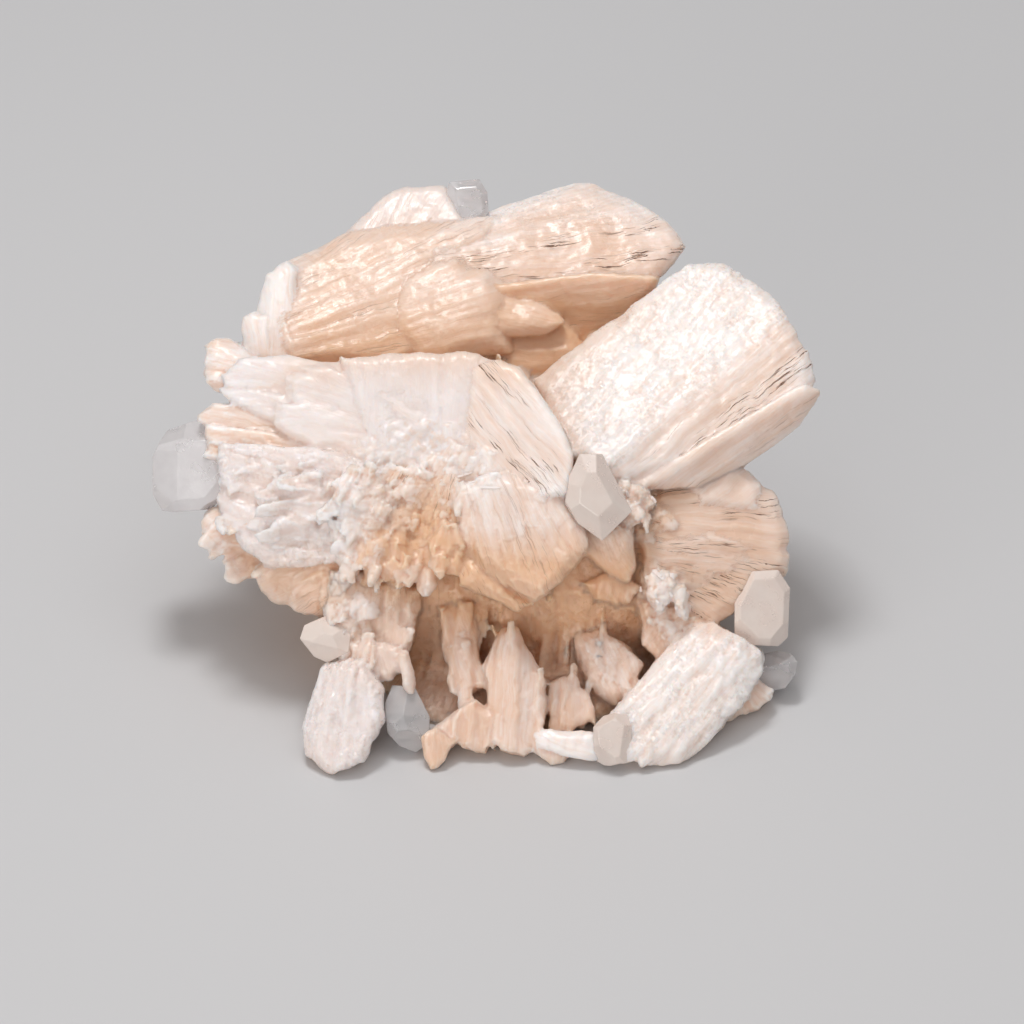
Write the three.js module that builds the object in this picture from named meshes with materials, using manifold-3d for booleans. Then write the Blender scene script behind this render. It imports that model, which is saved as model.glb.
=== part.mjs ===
// A cabinet specimen of stilbite with apophyllite: peach and white stilbite blades grown through one another,
// with clear apophyllite crystals seated in them. Millimetres, +Z up. The origin is at the middle of the bottom.
//
// Every crystal is laid out as it is seen from the front and a little above. Its outline has two numbers a point,
// across (to the right) and up (square to the line of sight), and "out" is how far it stands towards the viewer.
import * as THREE from 'three';
import { ConvexGeometry } from 'three/addons/geometries/ConvexGeometry.js';
import { mergeVertices } from 'three/addons/utils/BufferGeometryUtils.js';
import Module from 'manifold-3d';

const wasm = await Module();
wasm.setup();

// The line of sight falls this steeply, from this far away, on a point this high above the rest plane.
const SIGHT_ANGLE = THREE.MathUtils.degToRad(35);
const SIGHT_DISTANCE = 758;
const MIDDLE_HEIGHT = 24;

// Clear space around each apophyllite crystal in its seat.
const SEAT_GAP = 0.3;

// The broken base is flat, at this height.
const REST_HEIGHT = 0;

// Corners of the joined solid that are nearer than this to each other, or to a flat face, are drawn together.
const CLEAN_SIZE = 0.02;

// Stilbite crystals that show from the front. lean is how fast "out" grows across and up, deep is how far the
// crystal reaches back, bevel is the width of its edge faces and taper is the size of its back face.
const stilbite = [
  // The big right blade and its shaded lower flank
  { out: 3.2, lean: [0.06, -0.6], deep: 10, bevel: 1.8,
    outline: [[6, 13.5], [11, 3], [18, -1], [30, 3.5], [42, 11], [44.3, 13.5], [44, 15.5], [41, 22],
      [37.5, 26], [32, 29.8], [27.5, 30]] },
  { out: 6, lean: [-0.5, 0.45], deep: 9, bevel: 1.2,
    outline: [[18, -1.5], [28, -1], [35, 2.5], [41.3, 7], [44.7, 12], [42, 13], [30, 6]] },

  // The back blade, its underside and the short lath below it
  { out: -13.8, lean: [-0.05, -0.7], deep: 9, bevel: 1.8,
    outline: [[-8, 33], [0, 35.3], [6, 37.8], [11, 39.8], [14.5, 40], [20, 37], [24, 34.3], [26.5, 31.2],
      [23, 27], [14, 25], [0, 25.5], [-10, 26]] },
  { out: -10.5, lean: [0, 0.5], deep: 9, bevel: 1,
    outline: [[-6, 25.5], [6, 26.5], [16, 28], [23, 27], [20, 22], [10, 16], [2, 15], [-6, 19]] },
  { out: -7.6, lean: [0, -0.3], deep: 5, bevel: 1,
    outline: [[-6, 25], [2, 25], [6, 23.8], [9, 22.3], [10, 20.8], [8, 19.6], [0, 18.8], [-6, 19.5]] },

  // The top-left sheaf: its white back rim, its body, the white left plate and a small tab
  { out: -15.5, lean: [0, -0.5], deep: 9, bevel: 1.2,
    outline: [[-21, 31.5], [-17, 35], [-14, 38], [-11, 39.3], [-6, 39.7], [-3, 36], [-3, 33], [-10, 31]] },
  { out: -8.4, lean: [-0.1, -0.5], deep: 12, bevel: 1.8,
    outline: [[-29, 26], [-27, 29.3], [-23, 30.3], [-19, 33], [-8, 35], [1, 35.5], [1, 27], [-3, 20], [-12, 15],
      [-27, 15], [-29, 20]] },
  { out: -4.5, lean: [0.3, -0.3], deep: 8, bevel: 1,
    outline: [[-31.3, 23], [-30, 28], [-27, 30], [-25.6, 28], [-26.5, 15], [-30.5, 15]] },
  { out: -5, lean: [0.2, -0.2], deep: 5, bevel: 0.8,
    outline: [[-33.7, 20.5], [-33.4, 22], [-32, 22.6], [-30, 22.2], [-29, 16], [-32, 16]] },

  // The knob at the left and the fan of white blades under it
  { out: 0.5, lean: [0.1, -0.2], deep: 8, bevel: 1.5,
    outline: [[-39, 14.3], [-38.5, 18.2], [-37, 19.3], [-35, 19], [-33.3, 18], [-29, 15], [-29, 11], [-36.7, 11.5]] },
  { out: 5.5, lean: [0.2, -0.15], deep: 9, bevel: 1,
    outline: [[-36.5, 14], [-34, 16.4], [-28, 16.6], [-18, 15.5], [-18, 9.5], [-28, 10.5], [-35, 11.5]] },
  { out: 6.4, lean: [0.25, -0.1], deep: 6, bevel: 0.8,
    outline: [[-36.4, 12.2], [-34, 12.6], [-28, 11.5], [-20, 10], [-20, 6], [-25, 6.2], [-30, 7.8], [-34.5, 10]] },
  { out: 5, lean: [0.2, 0.1], deep: 7, bevel: 0.6,
    outline: [[-39, 9], [-36.7, 10.4], [-34, 9.8], [-25, 6], [-21, 4.2], [-33, 6], [-39, 7.4]] },
  { out: 6.8, lean: [0.2, 0], deep: 8, bevel: 0.8,
    outline: [[-38.5, 7.6], [-33, 6.3], [-24, 4.6], [-18, 4.4], [-18, 1], [-30, 2], [-38.5, 3]] },

  // The central ridge with its ragged lower edge, and the upright blade on its right
  { out: 9.2, lean: [0.04, -0.16], deep: 15, bevel: 1,
    outline: [[-30, 16.3], [-15, 16.4], [-9, 17], [-3, 16.8], [1, 16], [4, 14], [4, 2], [-4, 0.5], [-14, 2],
      [-24, 3.5], [-31, 8]] },
  { out: 12.8, lean: [0.32, -0.2], deep: 13, bevel: 1,
    outline: [[-2.5, 15], [1, 16], [4, 14.8], [6, 13], [9, 8], [11.5, 3], [10.5, -2], [4, -3], [-2, 2], [-3, 8]] },
  { out: 11.2, lean: [0.05, -0.1], deep: 6, bevel: 0.6,
    outline: [[-20, 6], [-16, 9], [-8, 7.6], [-3, 5], [-2, 1], [-8, -1.5], [-14, 0], [-20, 2]] },

  // The rough cleaved left mass: its block, two steps on it and the peach face below
  { out: 10.3, lean: [0.15, -0.08], deep: 15, bevel: 1.2,
    outline: [[-38, 5.5], [-30, 5], [-20, 4], [-14, 1], [-13, -4], [-15, -8.5], [-21, -11], [-30, -12.3],
      [-34, -9], [-38, -3.8]] },
  { out: 11.6, lean: [0.12, 0.1], deep: 4, bevel: 0.6,
    outline: [[-33, -2], [-29, 1], [-22.6, 1.6], [-22, -3], [-24, -9], [-31, -10]] },
  { out: 13, lean: [0.1, 0], deep: 5, bevel: 0.7,
    outline: [[-22, -1], [-19, 1], [-16, 1.3], [-13.7, -1], [-13.7, -6], [-17, -8], [-21, -7]] },
  { out: 3, lean: [0.1, 0], deep: 8, bevel: 1,
    outline: [[-39, -5], [-38.7, -7.5], [-36, -10.2], [-35, -12.3], [-33, -13.6], [-31, -13], [-30, -6], [-37, -4]] },
  { out: 9, lean: [0.12, 0.25], deep: 11, bevel: 1,
    outline: [[-32.3, -12], [-31.7, -14.8], [-27, -16.6], [-25.3, -18.3], [-20, -18.5], [-18.5, -13], [-21, -10],
      [-28, -10]] },

  // Rounded lumps left of the middle
  { out: 12, lean: [0.1, 0], deep: 12, bevel: 1.5,
    outline: [[-15, 1.5], [-4, 1], [-2, -4], [-4, -11], [-9, -13], [-15, -9]] },
  { out: 13.4, lean: [0, 0.1], deep: 6, bevel: 1.4,
    outline: [[-17.6, -9], [-15, -7], [-11.4, -7.4], [-10.4, -11], [-12, -14], [-16.6, -13.6]] },
  { out: 14.6, lean: [0, 0.1], deep: 7, bevel: 1.6,
    outline: [[-8.4, -8.5], [-6.3, -5.6], [-3.6, -6.4], [-2.6, -10], [-4, -13.4], [-7.4, -12.6]] },
  { out: 12.6, lean: [0, 0], deep: 7, bevel: 1,
    outline: [[-21, -7], [-17.5, -8], [-17.4, -13], [-20, -13.6]] },

  // The central mass with its point below, and the shoulder right of it
  { out: 16.2, lean: [0.08, -0.1], deep: 16, bevel: 1.8,
    outline: [[-4.5, -1], [2, 1], [9.5, -0.5], [12, -5], [13.6, -9.4], [11.5, -11], [6.3, -16.7], [2, -14.5],
      [-3, -10.5], [-5, -6]] },
  { out: 14.6, lean: [0, 0.1], deep: 9, bevel: 1.2,
    outline: [[-3.5, -10], [2, -13.5], [6.2, -16.7], [3.6, -18], [0.4, -16.4], [-4, -14]] },
  { out: 12.6, lean: [0, 0.15], deep: 11, bevel: 1.2,
    outline: [[11, -4], [16.5, -7.5], [19, -6.6], [20, -12], [19, -14.4], [16.4, -12], [12, -10.4]] },
  { out: 11.2, lean: [0, -0.1], deep: 7, bevel: 0.8,
    outline: [[17, 0.5], [21.6, -1.6], [22.8, -4], [21.6, -6.2], [19, -7.3], [16.8, -6]] },

  // The right cream sheaf
  { out: 5.6, lean: [-0.22, -0.1], deep: 13, bevel: 1.8,
    outline: [[19, -1.5], [28, -0.7], [36, -0.3], [38, -1.3], [39.3, -4], [40.2, -8.5], [40, -12.5], [37, -14.5],
      [31, -19.5], [26, -18], [21, -13], [18, -8]] },
  { out: 4.6, lean: [-0.2, -0.2], deep: 8, bevel: 1.2,
    outline: [[27, -1.2], [31.5, 1.6], [33.5, 1.9], [36.4, 0], [36, -4], [28, -4]] },
  { out: 6.6, lean: [-0.2, 0], deep: 5, bevel: 0.8,
    outline: [[20, -8], [30, -7], [36, -9], [36, -11], [27, -15], [21, -12.5]] },

  // Small white crystals below the shoulder, and the lump they stand on
  { out: 10, lean: [0, 0], deep: 6, bevel: 0.8,
    outline: [[20.7, -12.6], [22.5, -11.8], [25, -12.4], [25.2, -14], [22.5, -17.6], [21, -16]] },
  { out: 9.6, lean: [0, 0], deep: 6, bevel: 0.7,
    outline: [[24.6, -13.6], [26.4, -15], [26.8, -18.6], [25, -18]] },
  { out: 6.4, lean: [0, 0.1], deep: 9, bevel: 1,
    outline: [[19.5, -16], [27, -17], [29, -19.5], [22, -25], [19.8, -23]] },
  { out: 8.5, lean: [0, 0.15], deep: 7, bevel: 1,
    outline: [[12.6, -13.6], [16, -12], [20, -14], [19, -17.6], [14, -16.6]] },

  // The lower-left columns and the big lower-left blade
  { out: 10.4, lean: [-0.08, 0.05], deep: 13, bevel: 1.6,
    outline: [[-21, -13], [-15, -14], [-9.4, -14], [-8.8, -18], [-10.3, -22], [-10.2, -26], [-13, -28.4],
      [-18, -27.5], [-22, -24], [-21.5, -18]] },
  { out: 12, lean: [0.1, 0.1], deep: 6, bevel: 1.2,
    outline: [[-18.5, -22], [-14, -21.4], [-10.6, -23], [-10.4, -26], [-13.6, -27.8], [-18, -26.4]] },
  { out: 14.8, lean: [0, -0.14], deep: 9, bevel: 1.5,
    outline: [[-22, -24.3], [-24.2, -31], [-25, -33], [-24.8, -38], [-21, -40.2], [-17, -39.2], [-14, -33],
      [-14.3, -28], [-17, -24]] },
  { out: 13.6, lean: [0, 0], deep: 6, bevel: 0.8,
    outline: [[-9.4, -34.5], [-9, -37.4], [-8, -39], [-6.9, -39], [-5.8, -37.4], [-4.4, -35], [-7, -33]] },

  // Columns below the middle
  { out: 7.6, lean: [0.1, -0.1], deep: 8, bevel: 0.9,
    outline: [[-6.4, -16.5], [-4.6, -15.4], [-2.8, -18.5], [-1, -24], [-0.6, -28], [-2.5, -29.6], [-4.6, -27],
      [-6.2, -24]] },
  { out: 11.6, lean: [0, -0.2], deep: 9, bevel: 1,
    outline: [[-0.6, -25], [1.4, -20], [3.6, -20], [5.6, -24], [7.3, -27], [7.5, -32], [6, -37.2], [4.6, -37.8],
      [0, -37.4], [-0.7, -30]] },
  { out: 12.2, lean: [0.05, -0.1], deep: 8, bevel: 0.9,
    outline: [[-7.8, -33.4], [-5, -31.6], [-2, -29.2], [0.3, -31], [0.6, -37.2], [-3, -36.8], [-7.4, -35.4]] },
  { out: 12.4, lean: [0, 0], deep: 6, bevel: 0.7,
    outline: [[5.4, -36.4], [8, -38.2], [10, -37.8], [10.9, -36.2], [8, -34.6]] },
  { out: 13.4, lean: [0.08, -0.1], deep: 6, bevel: 0.8,
    outline: [[5.6, -34], [8, -33.4], [12.4, -33.4], [14.6, -34], [14.8, -37.8], [13.3, -37.8], [8, -36.2],
      [6, -35.8]] },
  { out: 6.2, lean: [0.1, -0.1], deep: 9, bevel: 1.6,
    outline: [[12, -20.3], [15, -19.4], [18, -21.2], [20.4, -24.4], [19.4, -28], [17, -30.2], [14, -28.4],
      [12.2, -25.5], [11.4, -22.5]] },
  { out: 8.4, lean: [0, -0.2], deep: 7, bevel: 0.8,
    outline: [[8, -27], [10.4, -26], [13, -28.5], [14.6, -33.8], [8, -34.2], [7.2, -31]] },

  // The big lower-right blade and the bumps at its foot
  { out: 11.5, lean: [-0.1, -0.28], deep: 11, bevel: 1.7,
    outline: [[14.5, -33], [17.6, -30.4], [22, -24], [26.5, -19.4], [30, -19], [36, -22.4], [36.6, -25.5],
      [34, -30], [28, -36], [25.5, -38], [16, -38.2]] },
  { out: 14.2, lean: [0, 0], deep: 5, bevel: 0.7,
    outline: [[19.4, -36.8], [20.2, -38.8], [21.6, -37.4], [22, -35], [19.8, -34.6]] },
  { out: 5, lean: [-0.1, 0.1], deep: 9, bevel: 0.9,
    outline: [[38.4, -28.4], [37.5, -30], [36, -31.2], [33, -32], [31, -33.2], [29, -30], [34, -25]] },
];

// Apophyllite crystals, laid out in the same way.
const apophyllite = [
  { name: 'apophyllite_pyramid', out: 17.2, lean: [0, 0.05], deep: 8, bevel: 1.6, taper: 0.8,
    outline: [[12, 3.4], [15, 3.4], [17.2, -1], [19, -4.3], [15, -8.2], [10, -4.6], [10.2, -0.5]] },
  { name: 'apophyllite_left_block', out: 3, lean: [0.15, 0.05], deep: 9, bevel: 1.3, taper: 0.9,
    outline: [[-45, 3], [-44, 5.2], [-43, 6.6], [-39, 8.1], [-35, 5.5], [-34.6, -1], [-37, -3.9], [-42, -4.3],
      [-43.7, -4.1], [-44.9, -2]] },
  { name: 'apophyllite_top_block', out: -16, lean: [0, -0.2], deep: 9, bevel: 0.9, taper: 0.9,
    outline: [[-5.6, 39.8], [-1.5, 40.2], [-0.4, 38.4], [-0.2, 35.2], [-3, 33], [-6.4, 35]] },
  { name: 'apophyllite_right_tab', out: 3.6, lean: [-0.1, 0], deep: 7, bevel: 0.9, taper: 0.9,
    outline: [[38.2, -22.8], [40, -23], [41, -24.2], [40.7, -26], [39.3, -27.8], [36.4, -28.2], [34.8, -26],
      [35.4, -23.4]] },
  { name: 'apophyllite_right_prism', out: 6, lean: [-0.15, 0], deep: 10, bevel: 0.9, taper: 0.9,
    outline: [[32.6, -15.5], [34.6, -12.2], [38.4, -12], [40, -14.4], [39.7, -21], [38.4, -22.2], [34.6, -22],
      [32.6, -21]] },
  { name: 'apophyllite_lower_left', out: 12, lean: [0.1, 0], deep: 9, bevel: 1, taper: 0.85,
    outline: [[-24.7, -19.4], [-25.3, -21.2], [-23.4, -23.6], [-21.6, -24.4], [-18.8, -23], [-18.4, -20],
      [-21.5, -18]] },
  { name: 'apophyllite_front_left', out: 12.8, lean: [0, -0.1], deep: 9, bevel: 0.9, taper: 0.85,
    outline: [[-13.6, -33.8], [-12, -35.5], [-9.8, -36.4], [-8.1, -35], [-8, -31.6], [-10, -27.6], [-13, -27.4],
      [-14, -30]] },
  { name: 'apophyllite_front_right', out: 15, lean: [0, 0], deep: 6, bevel: 0.8, taper: 0.9,
    outline: [[13.8, -33], [15.6, -31], [18.4, -31.4], [19.3, -34.4], [18.5, -37.6], [15.6, -38.3], [14, -37.4]] },
];

// Stilbite sheaves on the sides and back that the front hides: each widens from its root to its tip.
const hiddenSheaves = [
  { root: [4, 4, 18], tip: [21, 31, 12], width: 20, thick: 10, roll: 12 },
  { root: [-4, 6, 20], tip: [-12, 35, 21], width: 22, thick: 9, roll: -18 },
  { root: [0, 8, 26], tip: [9, 37, 29], width: 18, thick: 9, roll: 25 },
  { root: [-6, 4, 14], tip: [-29, 26, 11], width: 18, thick: 9, roll: 8 },
  { root: [-8, 2, 20], tip: [-33, 16, 19], width: 16, thick: 9, roll: -20 },
  { root: [8, 2, 14], tip: [35, 14, 9], width: 18, thick: 9, roll: 15 },
  { root: [6, 4, 22], tip: [34, 20, 22], width: 17, thick: 9, roll: -25 },
  { root: [4, 2, 20], tip: [33, 4, 21], width: 15, thick: 10, roll: 35 },
  { root: [0, 8, 12], tip: [3, 33, 7], width: 20, thick: 10, roll: 5 },
  { root: [-6, 2, 10], tip: [-26, 9, 7], width: 16, thick: 9, roll: 30 },
  { root: [8, 0, 10], tip: [30, 0, 6], width: 14, thick: 8, roll: -28 },
  { root: [-2, 8, 8], tip: [-16, 31, 6], width: 14, thick: 9, roll: -10 },
];

// The grown-together middle that every blade springs from, and the low ledge in front of it that the front
// columns stand on, each as rings of corners at rising heights.
const middle = [
  { height: -4, corners: [[-19, -10], [-12, -15], [10, -15], [24, -11], [30, 4], [24, 20], [6, 26], [-16, 24],
    [-26, 12]] },
  { height: 16, corners: [[-21, -13], [-12, -15], [12, -15], [27, -12], [32, 4], [24, 22], [4, 28], [-18, 25],
    [-29, 10]] },
  { height: 30, corners: [[-17, -5], [-4, -9], [12, -6], [18, 2], [14, 18], [-4, 24], [-18, 16]] },
];
const ledge = [
  { height: -4, corners: [[-15, -12], [-13, -21], [-4, -25], [10, -25], [20, -20], [24, -12]] },
  { height: 1.5, corners: [[-15, -12], [-12, -20], [-4, -24], [10, -24], [18, -19], [22, -12]] },
  { height: 5, corners: [[-12, -12], [-9, -16], [0, -18], [12, -18], [17, -15], [20, -12]] },
];

function seen(across, up, out) {
  const nearer = 1 - out / SIGHT_DISTANCE;
  return new THREE.Vector3(
    across * nearer,
    up * nearer * Math.sin(SIGHT_ANGLE) - out * Math.cos(SIGHT_ANGLE),
    MIDDLE_HEIGHT + up * nearer * Math.cos(SIGHT_ANGLE) + out * Math.sin(SIGHT_ANGLE),
  );
}

function middleOf(outline) {
  const sum = outline.reduce((total, point) => [total[0] + point[0], total[1] + point[1]], [0, 0]);
  return [sum[0] / outline.length, sum[1] / outline.length];
}

// The corners of one crystal: a front face drawn in by the bevel, the full outline, and a smaller back face.
function crystalCorners({ outline, out, lean, deep, bevel, taper = 0.75 }) {
  const [middleAcross, middleUp] = middleOf(outline);
  const reach = Math.min(...outline.map(([across, up]) => Math.hypot(across - middleAcross, up - middleUp)));
  const ring = (scale, back) => outline.map(([across, up]) => {
    const besideAcross = (across - middleAcross) * scale;
    const besideUp = (up - middleUp) * scale;
    const stand = out + lean[0] * besideAcross + lean[1] * besideUp - back;
    return seen(middleAcross + besideAcross, middleUp + besideUp, stand);
  });
  return [
    ...ring(1 - bevel / reach, 0),
    ...ring(1, bevel * 0.8),
    ...ring(1, deep * 0.6),
    ...ring(taper, deep),
  ];
}

// The corners of one hidden sheaf, from a narrow root to a wide, blunt tip with slanted edges.
function sheafCorners({ root, tip, width, thick, roll }) {
  const start = new THREE.Vector3(...root);
  const end = new THREE.Vector3(...tip);
  const along = end.clone().sub(start);
  const length = along.length();
  along.normalize();
  const level = new THREE.Vector3(0, 0, 1).cross(along).normalize();
  const side = level.applyAxisAngle(along, THREE.MathUtils.degToRad(roll));
  const face = along.clone().cross(side);
  const section = (distance, half, halfThick) => [[-1, -0.5], [-0.8, -1], [0.8, -1], [1, -0.5], [1, 0.5], [0.8, 1],
    [-0.8, 1], [-1, 0.5]].map(([a, b]) => start.clone()
    .addScaledVector(along, distance)
    .addScaledVector(side, a * half)
    .addScaledVector(face, b * halfThick));
  return [
    ...section(0, width * 0.3, thick * 0.35),
    ...section(length * 0.9, width * 0.5, thick * 0.5),
    ...section(length, width * 0.36, thick * 0.3),
  ];
}

function ringCorners(rings) {
  return rings.flatMap(({ height, corners }) => corners.map(([x, y]) => new THREE.Vector3(x, y, height)));
}

function toSolid(corners) {
  const geometry = new ConvexGeometry(corners);
  geometry.deleteAttribute('normal');
  geometry.deleteAttribute('uv');
  return solidOf(mergeVertices(geometry, 1e-4));
}

function solidOf(geometry) {
  return new wasm.Manifold(new wasm.Mesh({
    numProp: 3,
    vertProperties: new Float32Array(geometry.attributes.position.array),
    triVerts: new Uint32Array(geometry.index.array),
  }));
}

// The seat of a crystal is the crystal grown by the gap on all sides.
function seatOf(corners) {
  const steps = [-SEAT_GAP, SEAT_GAP];
  const grown = corners.flatMap((corner) => steps.flatMap((x) => steps.flatMap((y) => steps.map(
    (z) => corner.clone().add(new THREE.Vector3(x, y, z)),
  ))));
  return toSolid(grown);
}

// Everything below the rest plane is broken off flat.
function belowRest() {
  const block = new THREE.BoxGeometry(200, 200, 100);
  block.translate(0, 0, REST_HEIGHT - 50);
  block.deleteAttribute('normal');
  block.deleteAttribute('uv');
  return solidOf(mergeVertices(block, 1e-4));
}

// The outer skin of a joined solid: no sealed pocket and no loose chip is left.
function outerSkin(solid) {
  return solid.decompose().reduce((best, piece) => (piece.volume() > best.volume() ? piece : best));
}

function meshOf(name, solid, material, shift) {
  const { vertProperties, triVerts } = solid.getMesh();
  const geometry = new THREE.BufferGeometry();
  geometry.setAttribute('position', new THREE.BufferAttribute(new Float32Array(vertProperties), 3));
  geometry.setIndex(new THREE.BufferAttribute(new Uint32Array(triVerts), 1));
  geometry.computeVertexNormals();
  const mesh = new THREE.Mesh(geometry, material);
  mesh.name = name;
  mesh.position.copy(shift);
  return mesh;
}

const ground = belowRest();
const clearSolids = apophyllite.map((crystal) => ({
  name: crystal.name,
  corners: crystalCorners(crystal),
  solid: toSolid(crystalCorners(crystal)).subtract(ground),
}));

const blades = [
  ringCorners(middle),
  ringCorners(ledge),
  ...stilbite.map(crystalCorners),
  ...hiddenSheaves.map(sheafCorners),
].map(toSolid);
let joined = blades.reduce((sum, blade) => sum.add(blade)).subtract(ground);
for (const { corners } of clearSolids) {
  joined = joined.subtract(seatOf(corners));
}
const cluster = outerSkin(joined.simplify(CLEAN_SIZE));

// The origin is put at the middle of the whole specimen's bottom.
const extent = new THREE.Box3();
for (const solid of [cluster, ...clearSolids.map((clear) => clear.solid)]) {
  const { min, max } = solid.boundingBox();
  extent.expandByPoint(new THREE.Vector3(...min));
  extent.expandByPoint(new THREE.Vector3(...max));
}
const shift = new THREE.Vector3(
  -(extent.min.x + extent.max.x) / 2,
  -(extent.min.y + extent.max.y) / 2,
  -extent.min.z,
);

const stilbiteFinish = new THREE.MeshStandardMaterial({ color: '#e6c8b6', roughness: 0.5, metalness: 0 });
const apophylliteFinish = new THREE.MeshStandardMaterial({
  color: '#e2dcdf', roughness: 0.08, metalness: 0, transparent: true, opacity: 0.6,
});

const specimen = new THREE.Group();
specimen.name = 'stilbite_with_apophyllite';
specimen.add(meshOf('stilbite_cluster', cluster, stilbiteFinish, shift));
for (const { name, solid } of clearSolids) {
  specimen.add(meshOf(name, solid, apophylliteFinish, shift));
}

export default specimen;
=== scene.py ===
import math

import bmesh
import bpy
import numpy as np
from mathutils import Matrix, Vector
from mathutils.bvhtree import BVHTree
from mathutils.kdtree import KDTree


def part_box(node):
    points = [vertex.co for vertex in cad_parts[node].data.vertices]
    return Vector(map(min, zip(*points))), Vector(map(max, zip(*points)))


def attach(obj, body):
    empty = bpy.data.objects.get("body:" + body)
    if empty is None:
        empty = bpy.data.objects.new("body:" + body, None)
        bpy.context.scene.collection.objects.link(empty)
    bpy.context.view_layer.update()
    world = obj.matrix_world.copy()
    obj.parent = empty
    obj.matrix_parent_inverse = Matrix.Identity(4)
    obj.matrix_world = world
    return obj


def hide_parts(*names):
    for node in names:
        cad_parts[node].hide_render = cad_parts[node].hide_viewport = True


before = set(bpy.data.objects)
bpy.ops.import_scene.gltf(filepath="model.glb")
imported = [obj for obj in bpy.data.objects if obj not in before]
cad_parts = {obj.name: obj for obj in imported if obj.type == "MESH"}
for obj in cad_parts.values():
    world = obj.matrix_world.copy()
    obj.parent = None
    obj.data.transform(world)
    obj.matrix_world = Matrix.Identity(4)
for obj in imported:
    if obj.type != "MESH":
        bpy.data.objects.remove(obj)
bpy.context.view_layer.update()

# A specimen of stilbite with apophyllite. Every crystal is laid out as it is seen from the front and
# 35 degrees above: across (to the right), up (square to the line of sight) and out (towards the viewer),
# all in millimetres.
MM = 0.001
SIGHT_ANGLE = math.radians(35)
SIGHT_DISTANCE = 758.0
MIDDLE_HEIGHT = 24.0

# The way to the viewer, and the way up that is square to it
SIGHT = np.array([0, -math.cos(SIGHT_ANGLE), math.sin(SIGHT_ANGLE)])
RISE = np.array([0, math.sin(SIGHT_ANGLE), math.cos(SIGHT_ANGLE)])

# Spacing of a crystal's surface points, and of the skin that the crystals are grown into
FINE = 0.3
COARSE = 0.5
SKIN_SPACING = 0.3

# Random seeds: of the front crystals and the steps between them, of the hidden sheaves, the two rocks and
# the small crystals
FRONT_SEED = 11
SEED_STEP = 13
SHEAF_SEED = 500
SHEAF_SEED_STEP = 17
MIDDLE_SEED = 71
LEDGE_SEED = 83
SMALL_SEED = 4

# Small crystals over the hidden sides: how many, and how long
LOOSE_SIDE_CRYSTALS = 110
LOOSE_SIDE_LENGTHS = (0.8, 2.4)
GROWN_SIDE_CRYSTALS = 220
GROWN_SIDE_LENGTHS = (1.8, 4.2)

# Spacing of a rock's surface points, and how many faces the smallest closed part of the skin has
ROCK_SPACING = 0.8
SMALLEST_SKIN = 600

# How wide the rim of the clear crystals' edges is, and what counts as an edge of the small ones
EDGE_WIDTH = 0.09
SHARP_ANGLE = math.radians(38)

# The grid that tells recesses from open tips, for the shade painted into recesses: its margin and cell,
# how full of crystal a recess starts and ends, how much painted shade it takes on, and the most tan and
# painted shade of any point
FIELD_MARGIN = 8
FIELD_CELL = 1.5
RECESS_START = 0.45
RECESS_SPAN = 0.45
RECESS_SHADE_SHARE = 0.7
MOST_TAN_AND_SHADE = 0.8

# Stilbite's colours: body, edges, the honey tan that is also painted shade in recesses, its greyish clear
# parts, and the stain in its cracks
PEACH = (0.81, 0.60, 0.48)
WHITE = (0.93, 0.86, 0.835)
HONEY_AND_SHADE = (0.78, 0.48, 0.28)
LILAC = (0.84, 0.79, 0.79)
STAIN = (0.20, 0.10, 0.055)

# Apophyllite's refraction, and how strongly it absorbs light, per metre
GLASS_IOR = 1.535
GLASS_DENSITY = 8.0

# The studio
FLOOR_GREY = (0.60, 0.60, 0.61, 1)
SKY = (1.0, 0.98, 0.97, 1)
SKY_STRENGTH = 0.38
FLOOR_HALF_SIDE = 3.0
LENS = 200
SENSOR_WIDTH = 36

# How far the picture's middle lies from the specimen's, to the right and up
AIM_RIGHT = 2.93
AIM_UP = -4.27


# The tan value is the crystal's own tan, and on crystals that lie in shade it is painted shade as well
def blade(outline, out, lean=(0, 0), deep=9, bevel=1, taper=0.75, grain=268, spread=25, lath=1.6,
          ragged=0.5, frayed=0.0, crown=0.0, relief=0.14, ridge=0.05, steps=0.0, lift=0.04, warp=0.3,
          white=0.3, cool=0.0, tan=0.0, cracks=0.0, druse=0.0, rounding=1.3, fold=None):
    """One crystal: its outline and place as in the solids, and how its surface is finished."""
    return dict(outline=np.array(outline, float), out=out, lean=lean, deep=deep, bevel=bevel,
                taper=taper, grain=math.radians(grain), spread=spread, lath=lath, ragged=ragged,
                frayed=frayed, crown=crown, relief=relief, ridge=ridge, steps=steps, lift=lift,
                warp=warp, white=white, cool=cool, tan=tan, cracks=cracks, druse=druse,
                rounding=rounding, fold=fold)


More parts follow.
